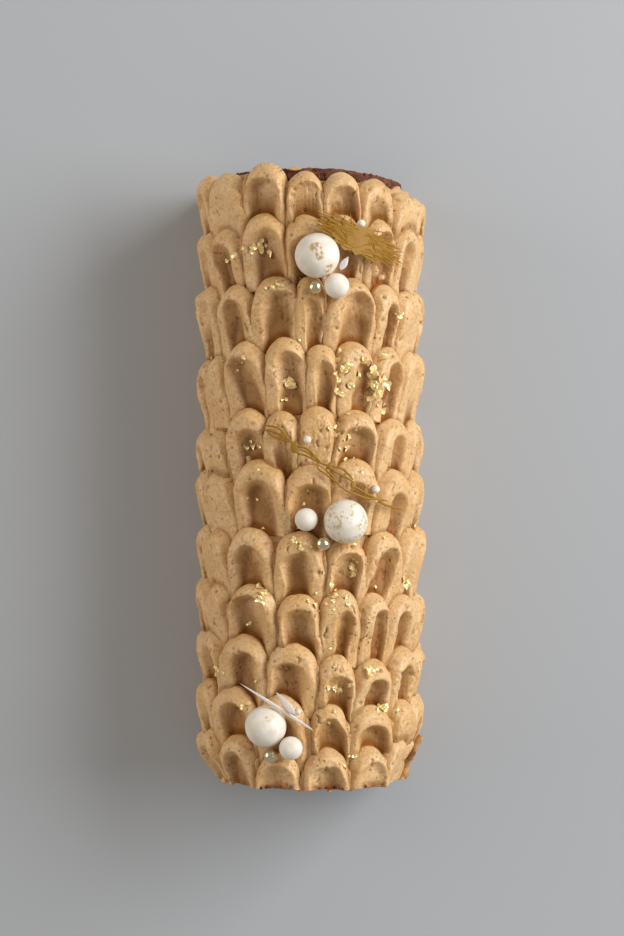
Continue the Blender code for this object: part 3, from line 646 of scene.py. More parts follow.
def petal_relief(petal, a, b, settings, fields, chance):
    """Height of a petal over the coat, its distance inside the outline, how thin it is left, and the painted shade
    where it lies deep: in its scoop, holes and tears.
    """
    broad, fine = fields
    w = petal["w"]
    inside = np.clip(np.where(b < w, w - np.hypot(a, w - b), half_width(petal, b) - np.abs(a)), 0, None)
    radius = settings.rim_round + (2.6 - settings.rim_round) * smooth((b - 0.5 * w) / w)
    rim = np.sqrt(np.clip(1 - (1 - np.clip(inside / radius, 0, 1)) ** 2, 0, 1))
    height = petal["high"] * (1 - 0.62 * smooth((b - 7) / (TAIL_LENGTH - 12))) * rim
    height *= 1 + chance.uniform(-0.08, 0.08) * a / w
    u, v = chance.uniform(0, 90), chance.uniform(0, 90)
    rough = 0.05 + 0.3 * chance.random() ** 3
    height += rim * (0.36 * broad.at(a / 6 + u, b / 7 + v) + 0.15 * broad.at(a / 2.3 + v, b / 3.1 + u))
    height += rim * rough * (fine.at(a / 0.9 + v, b / 1.1 + u) + 0.7 * fine.at(a / 0.45, b / 0.6 + v))
    height += rim * 0.09 * fine.at(inside / 0.7 + u, (a - b) / 9 + v)
    worked = np.zeros_like(a)
    if petal["depth"]:
        worked, drag = scooped(petal, a, b, settings, fields, chance)
        height += drag - petal["depth"] * worked
    thin = smooth((1.8 - height) / 2.4) * smooth(worked * 1.5) * (0.5 + 0.7 * fine.at(a / 1.6 + u, b / 2.6 + v))
    thin *= 0.3 + 0.7 * smooth((b - 13) / 8)
    lowest = 0.6 * rim
    height = lowest + 0.4 * np.logaddexp(0, (height - lowest) / 0.4)
    # Painted shade: darker where the scoop lies low.
    painted_shade = 0.7 * smooth((5.0 - height) / 4.2) * smooth(worked * 1.6)
    for _ in range(settings.pores):
        hole_a, hole_b = chance.uniform(-0.85, 0.85) * w, chance.uniform(2.5, 27)
        size = chance.uniform(0.3, 0.6) + 0.5 * chance.random() ** 4
        hole = np.exp(-((a - hole_a) ** 2 + (b - hole_b) ** 2) / (size * size))
        height -= 1.2 * size * hole
        # Painted shade in each air hole.
        painted_shade = np.maximum(painted_shade, 0.9 * hole**2)
    tears = torn(petal, a, b)
    height -= 0.9 * tears
    # Painted shade in the tears.
    painted_shade = np.maximum(painted_shade, 0.75 * tears)
    redder = 0.08 + 0.92 * smooth((petal["s"] - 8) / 30)
    at_end = smooth((b - petal["y"] - 128.6) / 3.4) * smooth(worked * 2) * (0.75 + 0.4 * fine.at(a / 1.3, b / 0.9))
    return height, inside, np.clip(np.maximum(thin * redder, at_end), 0, 0.85), painted_shade, worked


def torn(petal, a, b):
    """Short tears in the cream, along the way the spoon was drawn."""
    own = random.Random(round(petal["s"] * 7 + petal["y"]))
    tears = np.zeros_like(a)
    for _ in range(own.randint(0, 3)):
        start_a, start_b = own.uniform(-0.8, 0.8) * petal["w"], own.uniform(3, 20)
        lean, length, wave = own.uniform(-0.6, 0.6), own.uniform(1.5, 6), own.uniform(0, 6)
        along = (b - start_b) * math.cos(lean) + (a - start_a) * math.sin(lean)
        off = (a - start_a) * math.cos(lean) - (b - start_b) * math.sin(lean) + 0.35 * np.sin(along * 1.7 + wave)
        tears = np.maximum(tears, np.exp(-((off / 0.42) ** 2)) * smooth(along / 1.2) * smooth((length - along) / 1.2))
    return tears


def before_next(petals, s, y):
    """How far each place lies in front of the next row's petals, 0 under them."""
    nearest = np.full(s.shape, 99.0)
    for petal in petals:
        a, b, w = s - petal["s"], petal["y"] - y, petal["w"]
        inside = np.where(b < w, w - np.hypot(a, w - b), half_width(petal, b) - np.abs(a))
        nearest = np.minimum(nearest, -inside)
    return np.maximum(nearest, 0)


def petal_mesh(petal, following, settings, fields, chance):
    """Points, faces, stain and painted shade of one petal, closed down into the coat all round."""
    w = petal["w"]
    front = w * (1 - np.cos(np.linspace(0, math.pi / 2, 30)))
    b = np.concatenate([front, np.arange(w + 0.55, 33.0, 0.6)])
    room = petal["y"] - COAT_NEAR
    if b[-1] > room:
        b = np.append(b[b < room - 0.05], room)
    p = np.linspace(-1, 1, 43)
    spread = 0.62 * p + 0.38 * np.sin(p * math.pi / 2)
    a = half_width(petal, b)[:, None] * spread[None, :]
    b = np.repeat(b[:, None], len(p), 1)
    height, inside, thin, painted_shade, worked = petal_relief(petal, a, b, settings, fields, chance)
    ahead = before_next(following, petal["s"] + a, petal["y"] - b)
    # Painted shade: pooled in the scoop just in front of the next row, in a thin line along the next row's fronts, and
    # in the creases beside the petal's tail.
    painted_pool_shade = 0.9 * np.exp(-((ahead / 8.0) ** 2)) * smooth(worked * 1.4)
    beside = 0.55 * np.exp(-((inside / 0.9) ** 2)) * smooth((b - 0.55 * w) / 4)
    painted_shade = np.clip(np.maximum(painted_shade, painted_pool_shade) + 0.55 * np.exp(-((ahead / 1.5) ** 2)) + beside, 0, 0.95)
    out = settings.bulge * np.exp(-(((height - 3.4) / 2.0) ** 2)) * (1 - smooth(inside / 2.2))
    gap = np.maximum(np.hypot(a, np.clip(w - b, 0, None)), 0.3)
    s = petal["s"] + a * (1 + out / gap) + chance.uniform(-0.09, 0.09) * np.clip(b - w, 0, None)
    y = petal["y"] - b + out * np.clip(w - b, 0, None) / gap
    s, y, height, thin, painted_shade = skirted(petal, a, b, s, y, height, thin, painted_shade)
    s, y = warped(s, y, fields[0])
    y = np.maximum(y, COAT_NEAR - 0.4 * fields[0].at(s / 3, s * 0 + 4))
    points = place(np.clip(s, -HALF_GIRTH, HALF_GIRTH), y, height)
    return points.reshape(-1, 3), grid_faces(*s.shape), thin.ravel(), painted_shade.ravel()


def warped(s, y, broad):
    """Shifts places a little, so that outlines and scoops run unevenly by hand."""
    return (
        s + 0.55 * broad.at(s / 8 + 3, y / 8) + 0.25 * broad.at(s / 3.5, y / 3.5 + 9),
        y + 0.55 * broad.at(s / 8 + 40, y / 8 + 11) + 0.25 * broad.at(s / 3.5 + 7, y / 3.5 + 30),
    )


def skirted(petal, a, b, s, y, height, thin, painted_shade):
    """Adds an edge round a petal that turns down and in, under the coat's surface."""
    w, inset = petal["w"], 0.9
    shares = []
    for column in (0, -1):
        share = 1 - inset / np.maximum(np.where(b[:, column] < w, w, np.abs(a[:, column])), 2)
        inner_s = petal["s"] + a[:, column] * share
        inner_y = np.where(b[:, column] < w, petal["y"] - w + (w - b[:, column]) * share, y[:, column])
        shares.append((inner_s, inner_y))
    low = np.full(len(s), BURIED)
    s = np.column_stack([shares[0][0], s, shares[1][0]])
    y = np.column_stack([shares[0][1], y, shares[1][1]])
    height = np.column_stack([low, height, low])
    thin, painted_shade = (np.column_stack([low * 0, each, low * 0]) for each in (thin, painted_shade))
    s, y, thin, painted_shade = (np.vstack([each, each[-1:]]) for each in (s, y, thin, painted_shade))
    return s, y, np.vstack([height, height[-1:] * 0 + BURIED]), thin, painted_shade


def corner_fold(points, thin, painted_shade):
    """The fold at the near end's right corner: a groove with painted shade in it, and stained cream drawn out thin
    beyond it.
    """
    x, y = points[:, 0], points[:, 1]
    beyond = (x - FOLD_AT[0]) * FOLD_ACROSS[0] + (y - FOLD_AT[1]) * FOLD_ACROSS[1]
    there = smooth((-105 - y) / 7) * smooth((x - 31) / 4)
    groove = np.exp(-(((beyond - 0.2) / 0.8) ** 2)) * there
    points[:, 0] += (1.9 * smooth((beyond + 0.6) / 1.8) - 1.3 * groove) * there
    points[:, 2] = np.maximum(points[:, 2] - 0.5 * groove, 0)
    stained = smooth(beyond / 0.8) * there * (0.40 + 0.12 * np.sin(y * 2.1) + 0.1 * np.sin(points[:, 2] * 1.3))
    # Painted shade along the groove.
    return points, np.maximum(thin, stained), np.maximum(painted_shade, 0.95 * groove)


def petal_row(index, petals, following, settings, fields):
    """One row of petals as a piece."""
    chance = random.Random(SEED * 100 + index)
    points, faces, thin, painted_shade, start = [], [], [], [], 0
    for petal in petals:
        some, quads, thin_values, painted_shade_values = petal_mesh(petal, following, settings, fields, chance)
        points.append(some)
        faces.append(quads + start)
        thin.append(thin_values)
        painted_shade.append(painted_shade_values)
        start += len(some)
    points, thin, painted_shade = corner_fold(np.concatenate(points), np.concatenate(thin), np.concatenate(painted_shade))
    name = f"petal_row_{index + 1:02d}"
    # The stain and the painted shade go on the mesh as point attributes.
    piece = mesh_piece(name, points, np.concatenate(faces), {"thin": thin, "painted_shade": painted_shade})
    return finish_piece(piece, buttercream(), ["buttercream_coat"])


def crease_fill(rows, s, y):
    """Cream that lies between neighbouring petals, a little lower than they do."""
    height = np.zeros_like(s)
    for petals in rows:
        for petal in petals:
            a, b = np.abs(s - petal["s"]), petal["y"] - y
            body = petal["high"] * (1 - 0.62 * smooth((b - 7) / (TAIL_LENGTH - 12)))
            beside = 1 - smooth((np.abs(a - petal["w"]) - 0.5) / 1.8)
            height = np.maximum(height, 0.66 * body * beside * smooth((b - 0.5 * petal["w"]) / 6) * (b < TAIL_LENGTH))
    return height


def base_coat(rows, fields):
    """The even layer under the petals, open over the sponge's ends, with painted shade all over it."""
    s = np.linspace(-HALF_GIRTH, HALF_GIRTH, 233)
    y = np.linspace(COAT_FAR, COAT_NEAR, 289)
    grid_s, grid_y = np.meshgrid(s, y)
    height = crease_fill(rows, grid_s, grid_y)
    height += 0.4 * fields[0].at(grid_s / 5, grid_y / 6) + 0.12 * fields[1].at(grid_s, grid_y)
    at_far = smooth((grid_y - COAT_FAR + 6) / 6)
    end = (1.6 * fields[0].at(grid_s / 6 + 31, grid_s * 0 + 7.5) + 4.4 * smooth((-24 - grid_s) / 9)) * at_far
    points = [place(grid_s, grid_y + end, height).reshape(-1, 3)]
    inner = SPONGE_RADIUS - COAT_RADIUS + 0.3
    for row in (len(y) - 1, 0):
        points.append(place(s, (grid_y + end)[row], np.full(len(s), inner)))
    count = len(y) + 2
    faces = [grid_faces(count, len(s))]
    j = np.arange(len(s) - 1)
    last = (count - 1) * len(s)
    faces.append(np.stack([last + j, last + j + 1, j + 1, j], -1))
    # A faint stain, and painted shade all over the base layer under the petals.
    stain_and_painted_shade = {"thin": np.full(count * len(s), 0.04), "painted_shade": np.full(count * len(s), 0.2)}
    piece = mesh_piece("coat_base", np.concatenate(points), np.concatenate(faces), stain_and_painted_shade)
    return finish_piece(piece, buttercream(), ["buttercream_coat"])


# Sponge


def sponge_section(count):
    """Points round the sponge's section: round top, upright sides, rounded lower corners, flat base."""
    corner = [
        (SPONGE_RADIUS - SPONGE_CORNER - 2 + SPONGE_CORNER * math.cos(t), SPONGE_CORNER * (1 - math.sin(t)))
        for t in np.linspace(0, math.pi / 2, 12)
    ]
    top = [
        (SPONGE_RADIUS * math.sin(t), AXIS_HEIGHT + SPONGE_RADIUS * math.cos(t))
        for t in np.linspace(math.pi / 2, -math.pi / 2, 90)
    ]
    path = np.array(top + [(-x, z) for x, z in corner] + corner[::-1] + [top[0]])
    length = np.concatenate([[0], np.cumsum(np.hypot(*np.diff(path, axis=0).T))])
    at = np.linspace(0, length[-1], count, endpoint=False)
    return np.column_stack([np.interp(at, length, path[:, 0]), np.interp(at, length, path[:, 1])])


def sponge_end(section, y, out, settings, fields):
    """Rings from the edge of a bare end to its middle, with crumb pressed in."""
    rings = []
    middle = np.array([0.0, 34.0])
    for share in np.concatenate([[0.985, 0.97], np.linspace(0.95, 0.0, 56)]):
        ring = middle + (section - middle) * share
        rough = fields[1].at(ring[:, 0] * 0.9 + 20, ring[:, 1] * 0.9) + 0.7 * fields[0].at(ring[:, 0] / 3, ring[:, 1] / 3)
        ease = 0.5 * math.exp(-(((1 - share) / 0.02) ** 2))
        rings.append(np.column_stack([ring[:, 0], y + out * (settings.crumb * rough - ease - 0.4), ring[:, 1]]))
    return rings


def build_sponge(settings):
    section = sponge_section(220)
    fields = Noise(5), Noise(6)
    rings = sponge_end(section, SPONGE_FAR, 1, settings, fields)[::-1]
    lengths = [SPONGE_FAR - 0.9, *np.linspace(SPONGE_FAR - 1.6, SPONGE_FAR - 14, 22), 60, 0, -60]
    lengths += [*np.linspace(SPONGE_NEAR + 8, SPONGE_NEAR + 1.6, 14), SPONGE_NEAR + 0.9]
    at = np.arange(len(section))
    for y in lengths:
        inward = 0.35 + 0.35 * fields[1].at(at * 0.9, np.full(len(at), y)) + 0.2 * fields[0].at(at / 3, at * 0 + y / 3)
        ring = section * (1 - inward[:, None] / SPONGE_RADIUS)
        ring[:, 1] = np.where(section[:, 1] < 0.2, 0, ring[:, 1])
        rings.append(np.column_stack([ring[:, 0], np.full(len(at), y), ring[:, 1]]))
    rings += sponge_end(section, SPONGE_NEAR, -1, settings, fields)
    points = np.concatenate(rings)
    points[:, 2] = np.maximum(points[:, 2], 0)
    points[:, 1] -= 2.0 * smooth((points[:, 0] - 8) / 30) * smooth((points[:, 1] - SPONGE_FAR + 14) / 12)
    faces = grid_faces(len(rings), len(section), wrap=True)
    piece = mesh_piece("sponge", points, faces)
    return finish_piece(piece, sponge_material(), ["sponge_log"])


# Toppings


def ball_piece(name, material, segments):
    """A ball or pearl in the place and size of its CAD node."""
    low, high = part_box(name)
    deselect()
    bpy.ops.mesh.primitive_uv_sphere_add(
        segments=segments, ring_count=segments // 2, radius=(high.z - low.z) / 2, location=(low + high) / 2
    )
    piece = bpy.context.object
    piece.name = f"{name}_look"
    bpy.ops.object.transform_apply(location=True, rotation=True, scale=True)
    return finish_piece(piece, material, [name])


def over_petals(x, y, radius):
    outward = Vector((x / radius, 0, math.sqrt(1 - (x / radius) ** 2)))
    return Vector((outward.x * radius, y, AXIS_HEIGHT + outward.z * radius))


def rounded_path(plan, steps=5):
    """Plan points joined by a smooth line that passes through each of them."""
    points = [plan[0], *plan, plan[-1]]
    made = []
    for i in range(1, len(points) - 2):
        before, here, there, after = (np.array(p, float) for p in points[i - 1 : i + 3])
        for k in range(steps):
            t = k / steps
            made.append(
                0.5
                * (
                    2 * here
                    + (there - before) * t
                    + (2 * before - 5 * here + 4 * there - after) * t * t
                    + (3 * here - before - 3 * there + after) * t**3
                )
            )
    return [*made, np.array(plan[-1], float)]


def wire_curve(plan, chance):
    """One strand as a bevelled curve that lies over the petals."""
    curve = bpy.data.curves.new("strand", "CURVE")
    curve.dimensions = "3D"
    curve.bevel_depth = chance.uniform(0.42, 0.52) * MM
    curve.bevel_resolution = 3
    curve.use_fill_caps = True
    path = rounded_path(plan)
    spline = curve.splines.new("POLY")
    spline.points.add(len(path) - 1)
    for i, (x, y) in enumerate(path):
        spot = over_petals(x, y, WIRE_RADIUS + 0.15 * math.sin(i * 0.9 + x)) * MM + shift()
        end = min(i, len(path) - 1 - i)
        spline.points[i].co = (*spot, 1)
        spline.points[i].radius = 0.55 + 0.45 * min(1, end / 3)
    strand = bpy.data.objects.new("strand", curve)
    bpy.context.scene.collection.objects.link(strand)
    return strand


def wire_blob(x, y, radius):
    spot = over_petals(x, y, WIRE_RADIUS)
    deselect()
    bpy.ops.mesh.primitive_uv_sphere_add(segments=20, ring_count=10, radius=1, location=(0, 0, 0))
    piece = bpy.context.object
    tilt = Matrix.Rotation(math.asin(x / WIRE_RADIUS), 4, "Y")
    shape = Matrix.Diagonal((radius * 0.72 * MM, radius * MM, 0.55 * MM, 1))
    piece.data.transform(Matrix.Translation(spot * MM + shift()) @ tilt @ shape)
    return piece


def joined(pieces, name):
    """Curves and meshes turned into one mesh object."""
    deselect()
    for piece in pieces:
        piece.select_set(True)
    bpy.context.view_layer.objects.active = pieces[0]
    bpy.ops.object.convert(target="MESH")
    bpy.ops.object.join()
    made = bpy.context.object
    made.name = name
    return made


def gold():
    return metal("etched_gold", (0.34, 0.165, 0.008), 0.62, 0.1)


def build_wire():
    chance = random.Random(SEED + 7)
    pieces = [wire_blob(*blob) for blob in WIRE_BLOBS]
    pieces += [wire_curve(plan, chance) for plan in WIRE_STRANDS]
    return finish_piece(joined(pieces, "gold_wire"), gold(), ["sprig_wire"])


def fir_point(u, v, up):
    """A point of the fir sprig, whose plane slopes down to the right and bends a little over the log."""
    x = FIR_MIDDLE[0] + u * math.cos(FIR_TURN) - v * math.sin(FIR_TURN)
    y = FIR_MIDDLE[1] + u * math.sin(FIR_TURN) + v * math.cos(FIR_TURN)
    off = x - FIR_MIDDLE[0]
    return Vector((x, y, FIR_HEIGHT - 0.40 * off - 0.007 * off * off + up))


def needle_spike(start, end, width, lift, points, faces):
    """A needle as a flat four-sided spike in the sprig's plane, bent a little to its tip."""
    along = np.array(end) - np.array(start)
    side = np.array([-along[1], along[0]]) / max(np.hypot(*along), 0.01)
    first = len(points)
    for share, size in ((0, 1.0), (0.5, 0.85), (0.85, 0.5)):
        centre = np.array(start) + along * share
        for turn, up in ((1, 0), (0, 0.22), (-1, 0), (0, -0.22)):
            spot = centre + side * turn * width / 2 * size
            points.append(fir_point(spot[0], spot[1], lift + up * size))
    points += [fir_point(end[0], end[1], lift)] * 4
    for ring in range(3):
        for k in range(4):
            a, b = first + ring * 4, first + ring * 4 + 4
            faces.append((a + k, a + (k + 1) % 4, b + (k + 1) % 4, b + k))
    faces.append((first + 3, first + 2, first + 1, first))


def turned(u, v, turn):
    return u * math.cos(turn) - v * math.sin(turn), u * math.sin(turn) + v * math.cos(turn)


def fir_needle(chance, ball_at, clear):
    """Start and end of one needle: from inside the solid middle, roughly along the sprig, to its outline."""
    angle, share = chance.uniform(0, 2 * math.pi), math.sqrt(chance.uniform(0.1, 1))
    start = turned(FIR_CORE[0] * 0.92 * share * math.cos(angle), FIR_CORE[1] * 0.92 * share * math.sin(angle), FIR_CORE_TURN)
    lean = chance.gauss(0.12, 0.3 if chance.random() < 0.55 else 0.8)
    if start[0] < 0:
        lean += math.pi
    toward = np.array([math.cos(lean), math.sin(lean)])
    half, at = np.array(FIR_HALF), np.array(start)
    one, two, three = ((toward / half) ** 2).sum(), (toward * at / half**2).sum(), ((at / half) ** 2).sum() - 1
    reach = (-two + math.sqrt(max(0.0, two * two - one * three))) / one
    reach *= chance.uniform(0.35, 1.04)
    while reach > 1 and (fir_point(*(at + toward * reach), 0) - ball_at).length < clear:
        reach -= 0.3
    return at, at + toward * max(reach, 0.5)


def build_fir(settings):
    """The fir sprig: a solid middle with needles along it, like the teeth of a comb."""
    chance = random.Random(SEED + 1)
    low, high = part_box("ball_big_1")
    ball_at, radius = ((low + high) / 2 - shift()) / MM, (high.z - low.z) / 2 / MM
    points, faces = [], []
    for _ in range(settings.needles):
        start, end = fir_needle(chance, ball_at, radius + 0.9)
        needle_spike(start, end, chance.uniform(0.55, 0.95), chance.uniform(-0.3, 0.35), points, faces)
    core = len(points)
    for up, share in ((-0.4, 0.02), (-0.4, 1.0), (0.3, 1.0), (0.3, 0.02)):
        for k in range(32):
            turn, rough = 2 * math.pi * k / 32, 1 + 0.14 * math.sin(k * 2.4)
            spot = turned(FIR_CORE[0] * share * rough * math.cos(turn), FIR_CORE[1] * share * rough * math.sin(turn), FIR_CORE_TURN)
            points.append(fir_point(*spot, up))
    faces += [tuple(f) for f in grid_faces(4, 32, core, wrap=True)]
    piece = mesh_piece("gold_fir", [tuple(p) for p in points], faces)
    finish_piece(piece, gold(), ["sprig_fir"])
    piece.data.shade_flat()
    return piece


def sliver_piece(name, start, end, width, thick):
    """A thin pointed piece of white sugar, widest past its middle."""
    start, end = Vector(start), Vector(end)
    along = (end - start).normalized()
    side = along.cross(Vector((0, 0, 1))).normalized()
    up = side.cross(along)
    points = []
    shares = np.concatenate([[0.0], 0.5 - 0.5 * np.cos(np.linspace(0.1, math.pi - 0.1, 22)), [1.0]])
    for share in shares:
        size = max(0.02, math.sin(math.pi * share**1.35) ** 0.6)
        centre = start.lerp(end, share)
        for turn in np.linspace(0, 2 * math.pi, 14, endpoint=False):
            points.append(centre + (side * width * math.cos(turn) + up * thick * math.sin(turn)) * size / 2)
    faces = grid_faces(len(shares), 14, wrap=True)
    piece = mesh_piece(f"{name}_look", [tuple(p) for p in points], faces)
    return finish_piece(piece, sugar_glass(), [name])


def cake_surfaces():
    """The pieces that loose toppings can lie on."""
    bpy.context.view_layer.update()
    names = ["coat_base", "sponge", *(f"petal_row_{i + 1:02d}" for i in range(len(ROWS)))]
    return [bpy.data.objects[name] for name in names]


def surface_at(x, y, surfaces):
    """Where a straight drop onto the cake lands, the surface's direction there, and the piece's name."""
    start = Vector((x * MM, y * MM, 0.3)) + shift()
    best = None
    for piece in surfaces:
        hit, spot, normal, _ = piece.ray_cast(start, Vector((0, 0, -1)))
        if hit and (best is None or spot.z > best[0].z):
            best = spot.copy(), normal.copy(), piece.name
    if best is None:
        return None
    return (best[0] - shift()) / MM, best[1], best[2]


def flake(spot, normal, size, chance, points, faces):
    """A crumpled scrap of gold leaf lying on the surface."""
    turn = chance.uniform(0, 2 * math.pi)
    side = normal.cross(Vector((math.cos(turn), math.sin(turn), 0.1))).normalized()
    lean = (normal + Vector([chance.uniform(-0.45, 0.45) for _ in range(3)])).normalized()
    front = lean.cross(side).normalized()
    count, first = 9, len(points)
    long = chance.uniform(0.6, 1.0)
    for share in (0.02, 0.5, 1.0):
        for k in range(count):
            angle = 2 * math.pi * k / count
            reach = size / 2 * share * chance.uniform(0.65, 1.1)
            fold = size * 0.16 * share * math.sin(angle * 2 + turn) + chance.uniform(-0.12, 0.12) * size * share
            offset = side * math.cos(angle) * reach + front * math.sin(angle) * reach * long + lean * fold
            points.append(spot + normal * (0.15 + 0.1 * size) + offset)
    faces += [tuple(f) for f in grid_faces(3, count, first, wrap=True)]


def build_flakes(settings):
    """All the gold leaf as one piece."""
    chance = random.Random(SEED + 11)
    surfaces = cake_surfaces()
    points, faces = [], []
    for x, y, spread_x, spread_y, count, largest in FLAKES:
        for _ in range(count):
            at = chance.gauss(x, spread_x * 0.55), chance.gauss(y, spread_y * 0.55)
            if abs(at[0]) > 46 or not -128 < at[1] < 126:
                continue
            found = surface_at(*at, surfaces)
            if found:
                size = largest * settings.flake_size * chance.uniform(0.5, 1.05)
                flake(found[0], found[1], size, chance, points, faces)
    piece = mesh_piece("gold_leaf", [tuple(p) for p in points], faces)
    finish_piece(piece, metal("gold_leaf", (1.0, 0.80, 0.40), 0.35, 0.5), [])
    piece.data.shade_flat()
    return piece


def lump(spot, radii, chance, points, faces):
    """An uneven round scrap of crumb or cream."""
    first, rings, turns = len(points), 9, 12
    for i in range(rings):
        tilt = math.pi * i / (rings - 1)
        for k in range(turns):
            turn = 2 * math.pi * k / turns
            ray = Vector((math.sin(tilt) * math.cos(turn), math.sin(tilt) * math.sin(turn), math.cos(tilt)))
            rough = chance.uniform(0.82, 1.12) if 0 < i < rings - 1 else 0.97
            points.append(spot + ray * Vector(radii) * rough)
    faces += [tuple(f) for f in grid_faces(rings, turns, first, wrap=True)]


def build_crumbs():
    """Sponge crumbs at the bare far end and along the cream's edge at the near end."""
    chance = random.Random(SEED + 13)
    surfaces = cake_surfaces()
    near = [(chance.gauss(-17, 4), chance.uniform(-132.4, -131.6)) for _ in range(6)]
    near += [(chance.gauss(8, 6), chance.uniform(-132.4, -131.6)) for _ in range(6)]
    far = [(chance.uniform(-34, 36), chance.uniform(129, 133.6)) for _ in range(40)]
    points, faces = [], []
    for x, y in near + far:
        found = surface_at(x, y, surfaces)
        if found and (y < 0 or found[2] == "sponge"):
            size = chance.uniform(0.3, 0.75)
            lump(found[0] + Vector((0, 0, size * 0.3)), (size, size, size * 0.8), chance, points, faces)
    piece = mesh_piece("crumbs", [tuple(p) for p in points], faces)
    return finish_piece(piece, bpy.data.materials["red_crumb"], [])


def build_drips():
    """Scraps of cream drawn over the near end's edge, and one smear left on the sponge's far edge."""
    chance = random.Random(SEED + 17)
    points, faces = [], []
    for x, y, z, *radii in CREAM_SCRAPS:
        lump(Vector((x, y, z)), radii, chance, points, faces)
    surfaces = cake_surfaces()
    for x, y, *radii in TOP_SCRAPS:
        lump(surface_at(x, y, surfaces)[0], radii, chance, points, faces)
    piece = mesh_piece("cream_scraps", [tuple(p) for p in points], faces)
    return finish_piece(piece, buttercream(), [])


# Operators


class YULE_OT_sponge(bpy.types.Operator):
    """Build the sponge log with its bare ends"""

    bl_idname = "yule.sponge"
    bl_label = "Sponge"

    def execute(self, context):
        build_sponge(context.scene.yule_cake)
        return {"FINISHED"}


class YULE_OT_coat(bpy.types.Operator):
    """Build the buttercream: an even layer and the rows of petals"""

    bl_idname = "yule.coat"
    bl_label = "Buttercream petals"

    def execute(self, context):
        settings = context.scene.yule_cake
        fields = Noise(1), Noise(2)
        rows = row_petals(settings.petal_height)
        base_coat(rows, fields)
        for i, petals in enumerate(rows):
            petal_row(i, petals, rows[i + 1] if i + 1 < len(rows) else (), settings, fields)
        return {"FINISHED"}


class YULE_OT_balls(bpy.types.Operator):
    """Build the white balls, large, small and very small"""

    bl_idname = "yule.balls"
    bl_label = "White balls"

    def execute(self, context):
        plain = sugar_shell("sugar_plain")
        rubbed = sugar_shell("sugar_rubbed", BALL_ONE_GOLD, 0.0, (0.38, 0.60), (0.50, 0.30, 0.11), 700)
        flecked = sugar_shell("sugar_flecked", (), 0.16, (0.50, 0.57), (0.58, 0.46, 0.20), 760)
        hinted = sugar_shell("sugar_hinted", BALL_THREE_GOLD, 0.0, (0.42, 0.58), (0.66, 0.50, 0.24))
        for i, shell in enumerate((rubbed, flecked, hinted)):
            ball_piece(f"ball_big_{i + 1}", shell, 64)
        for i in range(3):
            ball_piece(f"ball_small_{i + 1}", plain, 48)
        for i in range(4):
            ball_piece(f"pearl_mini_{i + 1}", plain, 32)
        return {"FINISHED"}


class YULE_OT_pearls(bpy.types.Operator):
    """Build the silver pearls"""

    bl_idname = "yule.pearls"
    bl_label = "Silver pearls"

    def execute(self, context):
        silver = metal("champagne_silver", (0.78, 0.70, 0.48), 0.2, 1.0)
        for i in range(3):
            ball_piece(f"pearl_silver_{i + 1}", silver, 32)
        return {"FINISHED"}


class YULE_OT_sprigs(bpy.types.Operator):
    """Build the gold fir sprig and the gold wire sprig"""

    bl_idname = "yule.sprigs"
    bl_label = "Gold sprigs"

    def execute(self, context):
        build_fir(context.scene.yule_cake)
        build_wire()
        return {"FINISHED"}


class YULE_OT_slivers(bpy.types.Operator):
    """Build the white sugar needle and shards"""

    bl_idname = "yule.slivers"
    bl_label = "Sugar slivers"

    def execute(self, context):
        for sliver in SLIVERS:
            sliver_piece(*sliver)
        return {"FINISHED"}


class YULE_OT_scatter(bpy.types.Operator):
    """Scatter gold leaf and crumbs over the finished cake"""

    bl_idname = "yule.scatter"
    bl_label = "Gold leaf and crumbs"

    def execute(self, context):
        build_crumbs()
        build_drips()
        build_flakes(context.scene.yule_cake)
        return {"FINISHED"}


class YULE_OT_stage(bpy.types.Operator):
    """Set up the table, the light and the camera straight above the cake"""

    bl_idname = "yule.stage"
    bl_label = "Stage"

    def execute(self, context):
        settings = context.scene.yule_cake
        build_floor()
        build_light(settings)
        build_camera(settings)
        context.scene.view_settings.view_transform = "Standard"
        return {"FINISHED"}


def build_floor():
    deselect()
    bpy.ops.mesh.primitive_plane_add(size=8, location=(0, 0, -0.0002))
    floor = bpy.context.object
    floor.name = "table"
    material, tree, shader = new_material("table", (0.44, 0.46, 0.485), 0.8)
    floor.data.materials.append(material)


def soft_lamp(name, spot, size, power, colour):
    """A large soft light aimed at the cake."""
    deselect()
    bpy.ops.object.light_add(type="AREA", location=spot)
    lamp = bpy.context.object
    lamp.name = name
    lamp.data.shape = "RECTANGLE"
    lamp.data.size, lamp.data.size_y = size
    lamp.data.energy = power
    lamp.data.color = colour
    aim = Vector((0, 0, 0.04)) - lamp.location
    lamp.rotation_euler = aim.to_track_quat("-Z", "Y").to_euler()


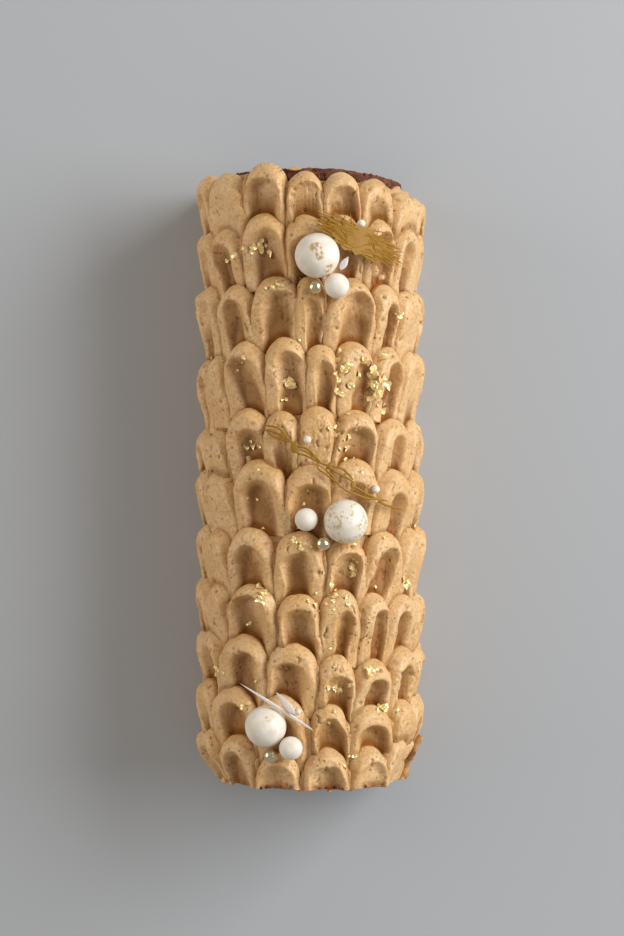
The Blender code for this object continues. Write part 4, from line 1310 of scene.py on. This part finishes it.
def build_light(settings):
    soft_lamp("window", (1.2, 0.42, 0.85), (1.2, 0.9), settings.lamp_power, (0.98, 0.992, 1.0))
    soft_lamp("fill", (-1.15, 0.2, 0.42), (0.8, 0.6), settings.lamp_power * settings.fill_share, (1.0, 0.93, 0.84))
    world = bpy.data.worlds.new("studio")
    bpy.context.scene.world = world
    world.use_nodes = True
    background = world.node_tree.nodes["Background"]
    background.inputs["Color"].default_value = (1.0, 0.945, 0.875, 1)
    background.inputs["Strength"].default_value = 0.335


def build_camera(settings):
    deselect()
    place_at = Vector((0.6 * MM, 4.9 * MM, 0)) + shift()
    bpy.ops.object.camera_add(location=(place_at.x, place_at.y, settings.camera_height), rotation=(0, 0, 0))
    camera = bpy.context.object
    camera.data.lens = settings.camera_height / 0.0121
    camera.data.sensor_width = 36
    camera.data.clip_end = 20
    bpy.context.scene.camera = camera


class YULE_PT_panel(bpy.types.Panel):
    """The cake's settings and steps"""

    bl_label = "Yule Log"
    bl_idname = "YULE_PT_panel"
    bl_space_type = "VIEW_3D"
    bl_region_type = "UI"
    bl_category = "Yule Log"

    def draw(self, context):
        settings = context.scene.yule_cake
        for key in CakeSettings.__annotations__:
            self.layout.prop(settings, key)
        for step in STEPS:
            self.layout.operator(step.bl_idname)


STEPS = (
    YULE_OT_sponge,
    YULE_OT_coat,
    YULE_OT_balls,
    YULE_OT_pearls,
    YULE_OT_sprigs,
    YULE_OT_slivers,
    YULE_OT_scatter,
    YULE_OT_stage,
)
CLASSES = (CakeSettings, *STEPS, YULE_PT_panel)


def register():
    for each in CLASSES:
        bpy.utils.register_class(each)
    bpy.types.Scene.yule_cake = PointerProperty(type=CakeSettings)


def unregister():
    del bpy.types.Scene.yule_cake
    for each in reversed(CLASSES):
        bpy.utils.unregister_class(each)


def main():
    register()
    bpy.ops.yule.sponge()
    bpy.ops.yule.coat()
    bpy.ops.yule.balls()
    bpy.ops.yule.pearls()
    bpy.ops.yule.sprigs()
    bpy.ops.yule.slivers()
    bpy.ops.yule.scatter()
    bpy.ops.yule.stage()


if __name__ == "__main__":
    main()
